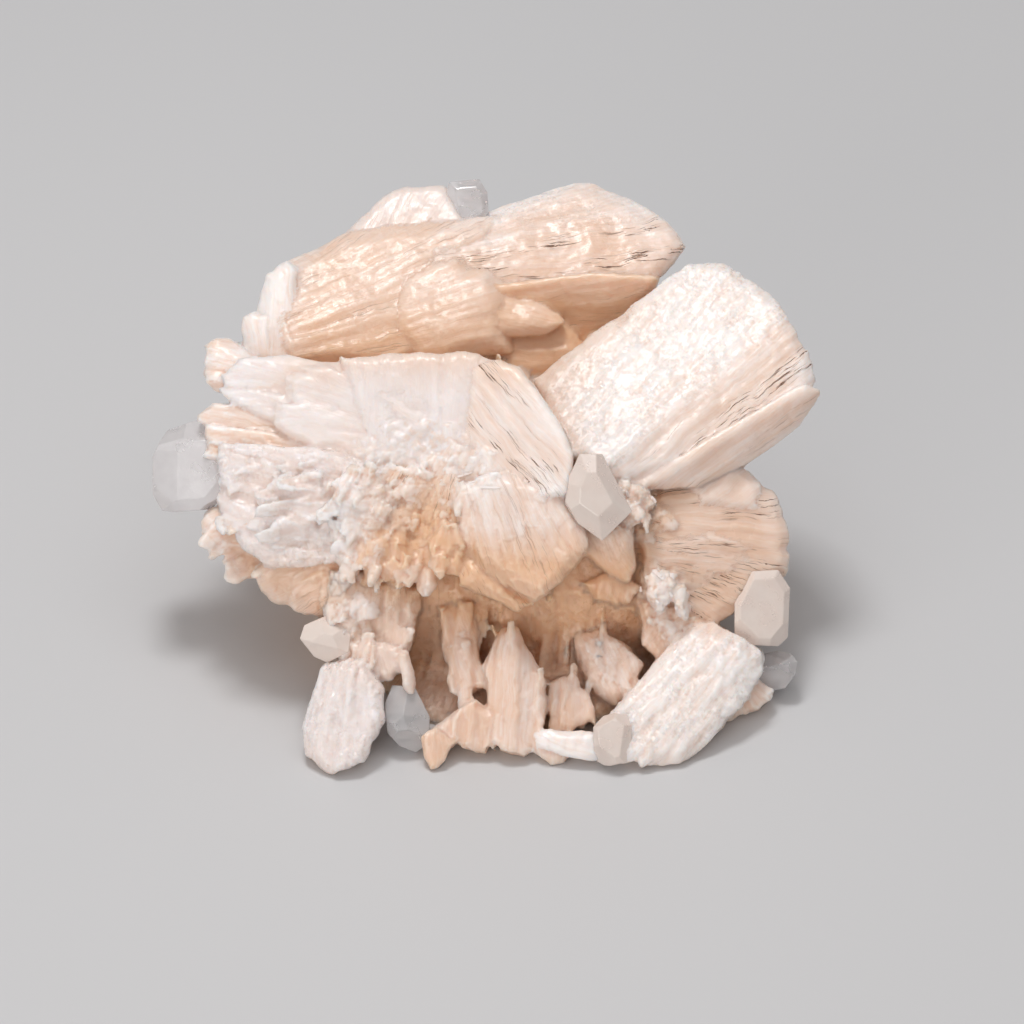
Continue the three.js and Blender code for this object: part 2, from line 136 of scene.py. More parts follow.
# The stilbite crystals that show from the front, by the piece of the skin that they are part of
STILBITE = {
    "upper_blades": [
        # The big right blade
        blade([[6, 13.5], [11, 3], [18, -1], [30, 3.5], [42, 11], [44.3, 13.5], [44, 15.5], [41, 22],
               [37.5, 26], [32, 29.8], [27.5, 30]], 3.2, (0.06, -0.6), deep=10, bevel=1.8, grain=42,
              spread=75, lath=40, ragged=1.2, crown=1, relief=0.3, white=0.95, cracks=1, druse=0.6,
              fold=(-0.5, 0.22)),
        blade([[18, -1.5], [28, -1], [35, 2.5], [41.3, 7], [44.3, 12], [42, 13], [30, 6]], 6,
              (-0.5, 0.45), bevel=1.2, grain=36, spread=70, lath=9, ragged=0.25, relief=0.1, ridge=0.1,
              warp=0.15, white=0.4, tan=0.05, cracks=0.3),
        # The back blade and the crystals under it
        blade([[-8, 33], [0, 35.3], [6, 37.8], [11, 39.8], [14.5, 40], [20, 37], [24, 34.3],
               [26.5, 31.2], [23, 27], [14, 25], [0, 25.5], [-10, 26]], -13.8, (-0.05, -0.7), bevel=1.8,
              grain=10, spread=50, lath=40, crown=1.2, relief=0.12, ridge=0.08, white=0.5, cracks=2.4,
              druse=0.5, fold=(1.5, 0.1)),
        blade([[-6, 25.5], [6, 26.5], [16, 28], [23, 27], [20, 22], [10, 16], [2, 15], [-6, 19]], -10.5,
              (0, 0.5), grain=6, spread=60, lath=2.5, ragged=0.3, relief=0.15, ridge=0.08, white=0.1,
              tan=0.4, cracks=0.3),
        blade([[-6, 25], [2, 25], [6, 23.8], [9, 22.3], [10, 20.8], [8, 19.6], [0, 18.8], [-6, 19.5]],
              -7.6, (0, -0.3), deep=5, grain=-10, spread=40, ragged=0.3, crown=0.8, tan=0.15),
        # The top-left sheaf and its pale rim
        blade([[-21, 31.5], [-17, 35], [-14, 38], [-11, 39.3], [-6, 39.7], [-3, 36], [-3, 33],
               [-10, 31]], -15.5, (0, -0.5), bevel=1.2, grain=60, spread=40, lath=2.2, ragged=0.6,
              white=0.2, cool=0.8, tan=0.16),
        blade([[-29, 26], [-27, 29.3], [-23, 30.3], [-19, 33], [-8, 35], [1, 35.5], [1, 27], [-3, 20],
               [-12, 15], [-27, 15], [-29, 20]], -8.4, (-0.1, -0.5), deep=12, bevel=1.8, grain=22,
              spread=45, lath=2.6, crown=1.5, relief=0.22, ridge=0.1, tan=0.14, cracks=0.3, druse=0.2),
        blade([[-13, 28], [-10, 30.5], [-4, 31], [0, 29], [3, 24], [3, 17], [-9, 15], [-14, 21]], -7.5,
              (-0.02, -0.46), bevel=3.4, grain=20, spread=45, lath=40, ragged=0.2, crown=1.6,
              relief=0.4, tan=0.1, druse=0.2, rounding=2.6),
        blade([[-3, 27], [6, 26], [11, 21], [14, 15], [4, 12], [-4, 14]], -9.2, (0, -0.1), bevel=2.5,
              grain=0, spread=45, lath=40, ragged=0.2, crown=1, relief=0.4, white=0.2, tan=0.35,
              rounding=2.2),
        blade([[-31.3, 23], [-30, 28], [-27, 30], [-25.6, 28], [-26.5, 15], [-30.5, 15]], -5.8,
              (0.12, -0.3), deep=8, bevel=2, grain=88, spread=40, lath=3.5, ragged=0.8, white=0.7,
              rounding=2),
        blade([[-33.7, 20.5], [-33.4, 22], [-32, 22.6], [-30, 22.2], [-29, 16], [-32, 16]], -5,
              (0.2, -0.2), deep=5, bevel=0.8, grain=105, spread=20, lath=1.2, ragged=0.4, white=0.7),
    ],
    "middle_crystals": [
        # The left fan
        blade([[-39, 14.3], [-38.5, 18.2], [-37, 19.3], [-35, 19], [-33.3, 18], [-29, 15], [-29, 11],
               [-36.7, 11.5]], 0.5, (0.1, -0.2), deep=8, bevel=1.5, grain=165, spread=20, ragged=0.8,
              white=0.5, rounding=1.6),
        blade([[-36.5, 14], [-34, 16.4], [-28, 16.6], [-18, 15.5], [-18, 9.5], [-28, 10.5],
               [-35, 11.5]], 5.5, (0.2, -0.15), grain=168, spread=22, lath=2.2, ragged=0.6, ridge=0.15,
              white=0.7, cool=0.5),
        blade([[-36.4, 12.2], [-34, 12.6], [-28, 11.5], [-20, 10], [-20, 6], [-25, 6.2], [-30, 7.8],
               [-34.5, 10]], 6.4, (0.25, -0.1), deep=6, bevel=0.8, grain=162, spread=22, lath=2.2,
              ridge=0.12, white=0.9, cool=0.65),
        blade([[-39, 9], [-36.7, 10.4], [-34, 9.8], [-25, 6], [-21, 4.2], [-33, 6], [-39, 7.4]], 5,
              (0.2, 0.1), deep=7, bevel=0.6, grain=164, lath=2, white=0.4),
        blade([[-38.5, 7.6], [-33, 6.3], [-24, 4.6], [-18, 4.4], [-18, 1], [-30, 2], [-38.5, 3]], 6.8,
              (0.2, 0), deep=8, bevel=0.8, grain=174, spread=30, lath=2.2, ragged=0.7, ridge=0.12,
              white=0.6),
        # The central ridge
        blade([[-20, 16.3], [-9, 17], [-3, 16.8], [1, 16], [4, 14], [4, 2], [-4, 0.5], [-12, 2],
               [-18, 8]], 9.4, (0.04, -0.16), deep=15, grain=86, spread=60, lath=2.4, ragged=0.3,
              frayed=1.2, relief=0.35, ridge=0.06, white=0.9, cool=0.6, druse=0.3),
        blade([[-30, 16.3], [-18, 16.5], [-8, 12], [-6, 6], [-14, 2], [-24, 3.5], [-31, 8]], 8.7,
              (0.1, -0.16), deep=15, bevel=2.2, grain=160, spread=20, ragged=3, relief=0.3, ridge=0.14,
              white=0.8, cool=0.5, rounding=1.8),
        # The upright blade beside it
        blade([[-2.5, 15], [1, 16], [4, 14.8], [6, 13], [9, 8], [11.5, 3], [10.5, -2], [4, -3], [-2, 2],
               [-3, 8]], 12.8, (0.32, -0.2), deep=13, grain=-48, spread=90, lath=2.4, ragged=0.3,
              relief=0.12, white=0.55, cracks=1),
        # The rough cleaved left mass
        blade([[-38, 5.5], [-30, 5], [-20, 4], [-14, 1], [-13, -4], [-15, -8.5], [-21, -11],
               [-30, -12.3], [-34, -9], [-38, -3.8]], 10.3, (0.15, -0.08), deep=15, bevel=1.2,
              grain=176, spread=30, lath=40, ragged=1.2, relief=0.5, ridge=0.03, steps=0.4, white=0.4,
              cool=0.7, druse=0.9),
        blade([[-33, -2], [-29, 1], [-22.6, 1.6], [-22, -3], [-24, -9], [-31, -10]], 11.4, (0.12, 0.1),
              deep=4, grain=172, lath=40, ragged=1.4, relief=0.5, ridge=0.03, steps=0.5, warp=0.7,
              white=0.4, cool=0.6, druse=0.6),
        blade([[-22, -1], [-19, 1], [-16, 1.3], [-13.7, -1], [-13.7, -6], [-17, -8], [-21, -7]], 13,
              (0.1, 0), deep=5, bevel=0.7, grain=235, spread=20, lath=1.2, ragged=1.2, relief=0.4,
              white=0.9, druse=0.5),
        blade([[-39, -5], [-38.7, -7.5], [-36, -10.2], [-35, -12.3], [-33, -13.6], [-31, -13],
               [-30, -6], [-37, -4]], 3, (0.1, 0), deep=8, grain=215, spread=20, ragged=0.9, white=0.1),
        blade([[-32.3, -12], [-31.7, -14.8], [-27, -16.6], [-25.3, -18.3], [-20, -18.5], [-18.5, -13],
               [-21, -10], [-28, -10]], 9, (0.12, 0.25), deep=11, bevel=2, grain=205, spread=30, lath=4,
              ragged=0.8, relief=0.5, ridge=0.1, tan=0.12, cracks=0.4, rounding=1.8),
        # The tan lumps in the middle
        blade([[-9, 3], [2, 4], [9, 1], [7, -6], [-5, -7]], 12.6, (0.1, -0.1), deep=10, bevel=1.5,
              grain=250, lath=2, ragged=0.8, relief=0.5, tan=0.1, rounding=1.6),
        blade([[-15, 1.5], [-4, 1], [-2, -4], [-4, -11], [-9, -13], [-15, -9]], 12, (0.1, 0), deep=12,
              bevel=1.5, grain=250, lath=2, ragged=0.8, relief=0.5, white=0.2, tan=0.2, cracks=1.2,
              druse=0.5, rounding=1.6),
        blade([[-17.6, -9], [-15, -7], [-11.4, -7.4], [-10.4, -11], [-12, -14], [-16.6, -13.6]], 13.4,
              (0, 0.1), deep=6, bevel=1.4, grain=260, spread=15, ragged=0.3, relief=0.3, white=0.15,
              tan=0.25, rounding=1.8),
        blade([[-8.4, -8.5], [-6.3, -5.6], [-3.6, -6.4], [-2.6, -10], [-4, -13.4], [-7.4, -12.6]], 14.6,
              (0, 0.1), deep=7, bevel=1.6, grain=270, spread=14, lath=1.8, ragged=0.3, relief=0.3,
              tan=0.1, rounding=2),
        blade([[-21, -7], [-17.5, -8], [-17.4, -13], [-20, -13.6]], 12.6, deep=7, grain=262, spread=20,
              lath=1, ragged=0.6, white=0.8),
        # The central mass and the crystals right of it
        blade([[-4.5, -1], [2, 1], [9.5, -0.5], [12, -5], [13.6, -9.4], [11.5, -11], [6.3, -16.7],
               [2, -14.5], [-3, -10.5], [-5, -6]], 16.2, (0.08, -0.1), deep=16, bevel=1.8, grain=292,
              spread=45, lath=3.5, ragged=0.3, crown=1, relief=0.5, ridge=0.04, white=0.25, cracks=0.3,
              druse=0.25),
        blade([[-3.5, -10], [2, -13.5], [6.2, -16.7], [3.6, -18], [0.4, -16.4], [-4, -14]], 14.6,
              (0, 0.1), bevel=1.2, grain=300, spread=30, white=0.1, tan=0.45, cracks=0.6),
        blade([[11, -4], [16.5, -7.5], [19, -6.6], [20, -12], [19, -14.4], [16.4, -12], [12, -10.4]],
              12.6, (0, 0.15), deep=11, bevel=1.2, grain=300, ragged=0.6, white=0.2, druse=0.3),
        blade([[17, 0.5], [21.6, -1.6], [22.8, -4], [21.6, -6.2], [19, -7.3], [16.8, -6]], 11.2,
              (0, -0.1), deep=7, bevel=0.8, grain=330, spread=15, lath=0.9, ragged=1, relief=0.4,
              white=0.6, tan=0.1, druse=0.8),
    ],
    "lower_crystals": [
        # The cream sheaf at the right
        blade([[19, -1.5], [28, -0.7], [36, -0.3], [38, -1.3], [39.3, -4], [40.2, -8.5], [40, -12.5],
               [37, -14.5], [31, -19.5], [26, -18], [21, -13], [18, -8]], 5.6, (-0.22, -0.1), deep=13,
              bevel=1.8, grain=-8, spread=26, lath=1.8, crown=0.8, relief=0.2, ridge=0.14, tan=0.1,
              cracks=1.5),
        blade([[27, -1.2], [31.5, 1.6], [33.5, 1.9], [36.4, 0], [36, -4], [28, -4]], 4.6, (-0.2, -0.2),
              deep=8, bevel=1.2, grain=40, lath=1.8, ragged=0.3, white=0.45),
        blade([[20, -8], [30, -7], [36, -9], [36, -11], [27, -15], [21, -12.5]], 6.6, (-0.2, 0), deep=5,
              bevel=0.8, grain=-6, spread=24, lath=1.3, ragged=1.2, ridge=0.12, cracks=0.8),
        blade([[20.7, -12.6], [22.5, -11.8], [25, -12.4], [25.2, -14], [22.5, -17.6], [21, -16]], 10,
              deep=6, bevel=0.8, grain=75, spread=15, lath=0.9, ragged=0.8, white=0.9, druse=0.5),
        blade([[24.6, -13.6], [26.4, -15], [26.8, -18.6], [25, -18]], 9.6, deep=6, bevel=0.7, grain=280,
              spread=15, lath=0.8, white=0.9),
        blade([[19.5, -16], [27, -17], [29, -19.5], [22, -25], [19.8, -23]], 6.4, (0, 0.1), grain=240,
              lath=1.4, ragged=0.8, white=0.15, druse=0.4),
        blade([[12.6, -13.6], [16, -12], [20, -14], [19, -17.6], [14, -16.6]], 8.5, (0, 0.15), deep=7,
              grain=270, spread=20, lath=1.5, ragged=0.6, white=0.2),
        # The lower-left knobs and blade
        blade([[-21, -13], [-15, -14], [-9.4, -14], [-8.8, -18], [-10.3, -22], [-10.2, -26],
               [-13, -28.4], [-18, -27.5], [-22, -24], [-21.5, -18]], 10.4, (-0.08, 0.05), deep=13,
              bevel=1.6, grain=264, spread=30, lath=2.8, ragged=2.4, relief=0.5, ridge=0.1, lift=0.8,
              white=0.15, cool=0.55, tan=0.2, druse=0.3, rounding=1.5),
        blade([[-18.5, -22], [-14, -21.4], [-10.6, -23], [-10.4, -26], [-13.6, -27.8], [-18, -26.4]],
              12, (0.1, 0.1), deep=6, bevel=1.4, grain=285, spread=16, lath=2.2, ragged=1, lift=0.3,
              white=0.2, cool=0.55, tan=0.1, rounding=1.6),
        blade([[-22, -24.3], [-24.2, -31], [-25, -33], [-24.8, -38], [-21, -40.2], [-17, -39.2],
               [-14, -33], [-14.3, -28], [-17, -24]], 14.8, (0, -0.14), bevel=1.5, grain=263, spread=32,
              lath=3.4, ragged=1.4, relief=0.4, ridge=0.14, steps=0.4, lift=0.3, white=0.4, cool=0.7,
              druse=0.9, fold=(0.5, 0.35)),
        blade([[-9.4, -34.5], [-9, -37.4], [-8, -39], [-6.9, -39], [-5.8, -37.4], [-4.4, -35],
               [-7, -33]], 13.6, deep=6, bevel=0.8, spread=15, lath=1, white=0, tan=0.3),
        # The columns in front of the cave
        blade([[-6.4, -16.5], [-4.6, -15.4], [-2.8, -18.5], [-1, -24], [-0.6, -28], [-2.5, -29.6],
               [-4.6, -27], [-6.2, -24]], 7.6, (0.1, -0.1), deep=8, bevel=0.9, grain=286, spread=30,
              lath=1, ragged=0.7, ridge=0.12, lift=0.2, white=0.15, tan=0.2),
        blade([[-0.6, -25], [1.4, -20], [3.6, -20], [5.6, -24], [7.3, -27], [7.5, -32], [6, -37.2],
               [4.6, -37.8], [0, -37.4], [-0.7, -30]], 11.6, (0, -0.2), spread=40, lath=1.5, ragged=1.6,
              ridge=0.2, lift=0.35, white=0.15, tan=0.18),
        blade([[-7.8, -33.4], [-5, -31.6], [-2, -29.2], [0.3, -31], [0.6, -37.2], [-3, -36.8],
               [-7.4, -35.4]], 12.2, (0.05, -0.1), deep=8, bevel=0.9, grain=262, lath=1.8, ragged=1,
              lift=0.3, white=0.1, tan=0.2),
        blade([[5.4, -36.4], [8, -38.2], [10, -37.8], [10.9, -36.2], [8, -34.6]], 12.4, deep=6,
              bevel=0.7, grain=280, spread=15, lath=1.2, white=0.1),
        blade([[5.6, -34], [8, -33.4], [12.4, -33.4], [14.6, -34], [14.8, -37.8], [13.3, -37.8],
               [8, -36.2], [6, -35.8]], 13.4, (0.08, -0.1), deep=6, bevel=0.8, grain=-22, lath=1,
              ragged=0.4, white=0.8),
        blade([[12, -20.3], [15, -19.4], [18, -21.2], [20.4, -24.4], [19.4, -28], [17, -30.2],
               [14, -28.4], [12.2, -25.5], [11.4, -22.5]], 6.2, (0.1, -0.1), bevel=1.6, grain=118,
              spread=22, lath=1.4, ragged=0.6, ridge=0.12, tan=0.18, rounding=1.6),
        blade([[8, -27], [10.4, -26], [13, -28.5], [14.6, -33.8], [8, -34.2], [7.2, -31]], 8.4,
              (0, -0.2), deep=7, bevel=0.8, lath=1.1, ragged=1.2, lift=0.2, white=0.15, tan=0.15),
        # The lower-right blade
        blade([[14.5, -33], [17.6, -30.4], [22, -24], [26.5, -19.4], [30, -19], [36, -22.4],
               [36.6, -25.5], [34, -30], [28, -36], [25.5, -38], [16, -38.2]], 11.5, (-0.1, -0.28),
              deep=11, bevel=1.7, grain=228, spread=80, lath=2, ragged=0.7, crown=0.8, relief=0.25,
              ridge=0.1, white=0.95, druse=0.8),
        blade([[19.4, -36.8], [20.2, -38.8], [21.6, -37.4], [22, -35], [19.8, -34.6]], 14.2, deep=5,
              bevel=0.7, grain=265, spread=12, lath=1, ragged=0.3, white=0.7),
        blade([[38.4, -28.4], [37.5, -30], [36, -31.2], [33, -32], [31, -33.2], [29, -30], [34, -25]],
              5, (-0.1, 0.1), bevel=0.9, grain=-50, lath=1.2, ragged=0.8),
    ],
}

# The apophyllite crystals, each under its own node's name
APOPHYLLITE = {
    "apophyllite_pyramid":
        blade([[12, 3.4], [15, 3.4], [17.2, -1], [19, -4.3], [15, -8.2], [10, -4.6], [10.2, -0.5]],
              17.2, (0, 0.05), deep=8, bevel=1.6, taper=0.8),
    "apophyllite_left_block":
        blade([[-45, 3], [-44, 5.2], [-43, 6.6], [-39, 8.1], [-35, 5.5], [-34.6, -1], [-37, -3.9],
               [-42, -4.3], [-43.7, -4.1], [-44.9, -2]], 3, (0.15, 0.05), bevel=1.3, taper=0.9),
    "apophyllite_top_block":
        blade([[-5.6, 39.8], [-1.5, 40.2], [-0.4, 38.4], [-0.2, 35.2], [-3, 33], [-6.4, 35]], -16,
              (0, -0.2), bevel=0.9, taper=0.9),
    "apophyllite_right_tab":
        blade([[38.2, -22.8], [40, -23], [41, -24.2], [40.7, -26], [39.3, -27.8], [36.4, -28.2],
               [34.8, -26], [35.4, -23.4]], 3.6, (-0.1, 0), deep=7, bevel=0.9, taper=0.9),
    "apophyllite_right_prism":
        blade([[32.6, -15.5], [34.6, -12.2], [38.4, -12], [40, -14.4], [39.7, -21], [38.4, -22.2],
               [34.6, -22], [32.6, -21]], 6, (-0.15, 0), deep=10, bevel=0.9, taper=0.9),
    "apophyllite_lower_left":
        blade([[-24.7, -19.4], [-25.3, -21.2], [-23.4, -23.6], [-21.6, -24.4], [-18.8, -23],
               [-18.4, -20], [-21.5, -18]], 12, (0.1, 0), taper=0.85),
    "apophyllite_front_left":
        blade([[-13.6, -33.8], [-12, -35.5], [-9.8, -36.4], [-8.1, -35], [-8, -31.6], [-10, -27.6],
               [-13, -27.4], [-14, -30]], 12.8, (0, -0.1), bevel=0.9, taper=0.85),
    "apophyllite_front_right":
        blade([[13.8, -33], [15.6, -31], [18.4, -31.4], [19.3, -34.4], [18.5, -37.6], [15.6, -38.3],
               [14, -37.4]], 15, deep=6, bevel=0.8, taper=0.9),
}


def patch(outline, count, angles, sizes=(1.4, 3.0), widths=(0.5, 0.9), thicks=(0.4, 0.7), stand=0.08,
          white=1.0, cool=0.1):
    """Where small crystals grow, which way they point in the front view, and how large they are."""
    return dict(outline=outline, count=count, angles=angles, sizes=sizes, widths=widths, thicks=thicks,
                stand=stand, white=white, cool=cool)


def zone(outline, height, grain=205, stretch=2.0, pitch=1.6, white=0.0, speckle=0.5, edge=1.5, tan=0.0):
    """A rough part of the skin: its height, how drawn out along which grain, how white, and its tan and
    painted shade.
    """
    return dict(outline=outline, height=height, grain=math.radians(grain), stretch=stretch, pitch=pitch,
                white=white, speckle=speckle, edge=edge, tan=tan)


# Where the fused skin is rough
ZONES = [
    # The central ridge's flaky lower edge
    zone([[-17, 4.5], [-12, 5.5], [-2, 3.5], [1.5, 0.5], [-3, -2.5], [-12, -2], [-17, 0]], height=0.4,
         grain=230, stretch=2.6, pitch=1.2, white=0.4, speckle=0.6, edge=2.5),
    # The rough left mass, the fringe below it and the lumps beside it
    zone([[-39, 5], [-20, 4.5], [-13, 1], [-14, -9], [-22, -12], [-33, -12], [-39, -5]], height=0.24,
         grain=-10, stretch=6, pitch=1.2, speckle=1.8, edge=2.5),
    zone([[-23, 1], [-13, 3], [-11, -2], [-13, -9], [-21, -9]], height=0.5, grain=250, stretch=2.4,
         pitch=1.4, white=0.25, speckle=0.8, edge=2.5),
    zone([[-16, 1], [-3, 0], [-2, -13], [-13, -16], [-19, -12]], height=0.5, grain=260, stretch=1.6,
         pitch=1.7, white=-0.1, edge=4.5, tan=0.34),
    zone([[-33, -11], [-18, -9], [-18, -19], [-27, -17]], height=0.3, stretch=2.6, speckle=0.8, edge=2),
    # Drusy spots right of the middle
    zone([[16, 1], [22, -1], [24, -5], [21, -8], [15, -7]], height=0.4, grain=0, stretch=1, pitch=1,
         speckle=0.4, tan=0.12),
    zone([[20, -12], [23, -11], [27, -13], [28, -19], [24, -22], [19, -18]], height=0.4, grain=270,
         stretch=1.3, pitch=1.1, speckle=0.4, tan=0.05),
    # Lower-left knobs and blade
    zone([[-23, -13], [-9, -13], [-8, -26], [-14, -29], [-23, -25]], height=0.4, grain=264, stretch=2.4,
         white=0.1, edge=2.5, tan=0.14),
    zone([[-26, -24], [-14, -27], [-14, -34], [-20, -41], [-26, -40]], height=0.14, grain=264,
         stretch=3.4, pitch=0.9, white=0.1, speckle=0.8),
    # The cave and the columns' feet
    zone([[-9, -14], [4, -17], [21, -14], [21, -33], [8, -37], [-9, -36]], height=0.25, grain=268,
         stretch=4, pitch=1.3, tan=-0.1),
    zone([[11, -19], [16, -18], [21, -24], [18, -31], [11, -27]], height=0.3, grain=118, stretch=2.6,
         pitch=1.1, white=0.2, speckle=0.6),
    # The lower-right blade and what lies beyond its tip
    zone([[14, -33], [28, -18], [37, -21], [28, -37], [15, -39]], height=0.12, grain=48, stretch=5,
         pitch=0.6, white=0.1, speckle=0.8),
    zone([[31, -22], [39, -21], [40, -30], [30, -34]], height=0.3, grain=-50, stretch=2.2, pitch=1.3,
         white=0.1),
    # The top-left rim and the left fan
    zone([[-34, 15], [-34, 23], [-28, 31], [-22, 32], [-26, 22], [-27, 15]], height=0.14, grain=88,
         stretch=2.4, white=0.2),
    zone([[-40, 9], [-40, 20], [-33, 19], [-24, 12], [-24, 3], [-39, 2]], height=0.2, grain=166,
         stretch=4.5, pitch=1.1, speckle=0.9, edge=2.5),
    # The granular upper part of the right blade, and the central mass
    zone([[5, 14], [12, 3], [26, 9], [38, 20], [37, 28], [27, 31]], height=0.08, grain=42, pitch=0.6,
         white=0.05, speckle=0.6),
    zone([[-5, 0], [10, 0], [14, -9], [6, -18], [-5, -15]], height=0.25, grain=290, stretch=2.2,
         pitch=1.9, white=0.1, edge=3),
    zone([[37, 6], [45, 9], [45, 18], [39, 27], [33, 30], [30, 28], [34, 16]], height=0.05, grain=42,
         pitch=1.2, white=-0.1, speckle=0.3, edge=3),
    #     The shaded valley behind the ridge, the foot of the central mass and the flank of the left mass:
    #     their tan and lowered whiteness are painted shade
    zone([[-26, 15], [-24, 20], [-12, 23], [2, 24], [12, 24], [20, 23], [10, 13]], height=0.1, grain=10,
         stretch=2.5, white=-0.1, speckle=0.3, edge=6, tan=0.45),
    zone([[-6, -9], [4, -11], [12, -9], [20, -10], [20, -18], [4, -20], [-6, -16]], height=0.2,
         grain=300, white=-0.1, speckle=0.3, edge=5, tan=0.8),
    zone([[-34, -9], [-22, -10], [-17, -14], [-24, -20], [-33, -16]], height=0.1, pitch=1.4, white=-0.1,
         speckle=0.3, edge=4, tan=0.2),
    zone([[20, -6], [30, -8], [40, -8], [40, -15], [30, -19], [20, -14]], height=0.08, grain=-6,
         stretch=5, pitch=0.9, white=-0.1, speckle=0.3, edge=5, tan=0.12),
]

# Small crystals that are fused into the skin
FLAKES = [
    # Ragged flakes along the central ridge's lower edge
    patch([[-17, 7], [-10, 8], [-3, 5], [0.5, 0.5], [-3, -2], [-10, -1.5], [-17, 1]], count=46,
          angles=(175, 300), sizes=(2.0, 5.0), widths=(0.4, 0.8), thicks=(0.2, 0.35), stand=0.04,
          white=0.9),
    patch([[-4, 2], [-1, 3.5], [0.5, 2], [-0.5, -1], [-3, -1]], count=8, angles=(-25, 35),
          sizes=(1.6, 3.6), widths=(0.3, 0.5), thicks=(0.5, 0.9)),
    # Flakes on the left mass and in the fringe beside it
    patch([[-36, 3], [-22, 3.5], [-14, 1], [-14, -7], [-22, -10], [-32, -9]], count=22,
          angles=(155, 205), sizes=(2.0, 6.0), widths=(0.35, 0.7), thicks=(0.15, 0.3), stand=0.02,
          white=0.8, cool=0.4),
    patch([[-22, 1], [-14, 2.5], [-11, -2], [-13, -9], [-20, -8]], count=34, angles=(225, 280),
          sizes=(1.8, 4.5), widths=(0.4, 0.8), thicks=(0.25, 0.4), white=0.85, cool=0.2),
    patch([[-21, -8], [-15, -8], [-13, -15], [-20, -17]], count=12, angles=(255, 285), sizes=(1.8, 3.8),
          widths=(0.35, 0.6), thicks=(0.5, 0.8), white=0.6, cool=0.2),
    # Knobs of the middle and of the lower left
    patch([[-15, 1], [-4, 0], [-3, -12], [-12, -14]], count=18, angles=(230, 300), sizes=(2.0, 4.2),
          stand=0.12, white=0.35),
    patch([[-22, -13], [-10, -14], [-9, -24], [-14, -28], [-22, -24]], count=16, angles=(245, 285),
          sizes=(2.4, 5.0), widths=(0.45, 0.8), stand=0.06, white=0.4, cool=0.3),
    # Drusy spots at the right of the middle
    patch([[17, 1], [22, -1], [23.5, -5], [21, -8], [16.5, -7]], count=16, angles=(200, 380),
          stand=0.15, white=0.6, cool=0),
    patch([[20, -12], [23, -11], [26, -13], [27, -19], [24, -21], [20, -17]], count=18,
          angles=(230, 320), stand=0.15, white=0.5, cool=0),
    # Long crystals down the cave's wall
    patch([[-8, -16], [4, -18], [20, -16], [20, -26], [8, -28], [-8, -26]], count=20, angles=(262, 278),
          sizes=(4.0, 9.0), widths=(0.2, 0.3), thicks=(0.4, 0.6), stand=0, white=0.3),
    # Along the left fringe
    patch([[-39, -4], [-34, -4], [-30, -12], [-35, -13.5]], count=10, angles=(195, 240),
          sizes=(1.8, 3.6), widths=(0.5, 0.8), stand=0.1, white=0.3),
]

# Small loose crystals on it
PATCHES = [
    # Spiky white tips along the central ridge's lower edge
    patch([[-6, 2], [-1, 3], [1, 1], [-0.5, -1.5], [-6, -1.5]], count=14, angles=(-30, 30),
          sizes=(0.8, 2.0), widths=(0.12, 0.25), thicks=(0.5, 0.9), stand=0.05),
    # Tiny crystals in the drusy spots
    patch([[17, 1], [22, -1], [23.5, -5], [21, -8], [16.5, -7]], count=16, angles=(0, 360),
          sizes=(0.4, 0.9), widths=(0.6, 1.0), thicks=(0.3, 0.7), stand=0.2, white=0.95),
    patch([[20, -12], [23, -11], [26, -13], [27, -19], [24, -21], [20, -17]], count=16,
          angles=(200, 340), sizes=(0.5, 1.0), widths=(0.6, 1.0), thicks=(0.3, 0.7), stand=0.2,
          white=0.95),
]

# Sheaves on the sides and back: root, tip, width, thickness and roll
HIDDEN_SHEAVES = [
    ((4, 4, 18), (21, 31, 12), 20, 10, 12),
    ((-4, 6, 20), (-12, 35, 21), 22, 9, -18),
    ((0, 8, 26), (9, 37, 29), 18, 9, 25),
    ((-6, 4, 14), (-29, 26, 11), 18, 9, 8),
    ((-8, 2, 20), (-33, 16, 19), 16, 9, -20),
    ((8, 2, 14), (35, 14, 9), 18, 9, 15),
    ((6, 4, 22), (34, 20, 22), 17, 9, -25),
    ((4, 2, 20), (33, 4, 21), 15, 10, 35),
    ((0, 8, 12), (3, 33, 7), 20, 10, 5),
    ((-6, 2, 10), (-26, 9, 7), 16, 9, 30),
    ((8, 0, 10), (30, 0, 6), 14, 8, -28),
    ((-2, 8, 8), (-16, 31, 6), 14, 9, -10),
]

# The grown-together middle and the low ledge in front of it, as corners at rising heights
MIDDLE = [
    (-4, [(-19, -10), (-12, -15), (10, -15), (24, -11), (30, 4), (24, 20), (6, 26), (-16, 24),
          (-26, 12)]),
    (16, [(-21, -13), (-12, -15), (12, -15), (27, -12), (32, 4), (24, 22), (4, 28), (-18, 25),
          (-29, 10)]),
    (30, [(-17, -5), (-4, -9), (12, -6), (18, 2), (14, 18), (-4, 24), (-18, 16)]),
]
LEDGE = [
    (-4, [(-15, -12), (-13, -21), (-4, -25), (10, -25), (20, -20), (24, -12)]),
    (1.5, [(-15, -12), (-12, -20), (-4, -24), (10, -24), (18, -19), (22, -12)]),
    (5, [(-12, -12), (-9, -16), (0, -18), (12, -18), (17, -15), (20, -12)]),
]


def seen(across, up, out):
    """Points in the frame's axes, before the shift to its origin, from how they are seen."""
    nearer = 1 - out / SIGHT_DISTANCE
    ahead = up * nearer * math.sin(SIGHT_ANGLE) - out * math.cos(SIGHT_ANGLE)
    high = MIDDLE_HEIGHT + up * nearer * math.cos(SIGHT_ANGLE) + out * math.sin(SIGHT_ANGLE)
    return np.stack([across * nearer, ahead, high], -1)


def stand_of(spec, across, up):
    """How far out the plane of a crystal's face stands."""
    middle = spec["outline"].mean(0)
    return spec["out"] + spec["lean"][0] * (across - middle[0]) + spec["lean"][1] * (up - middle[1])


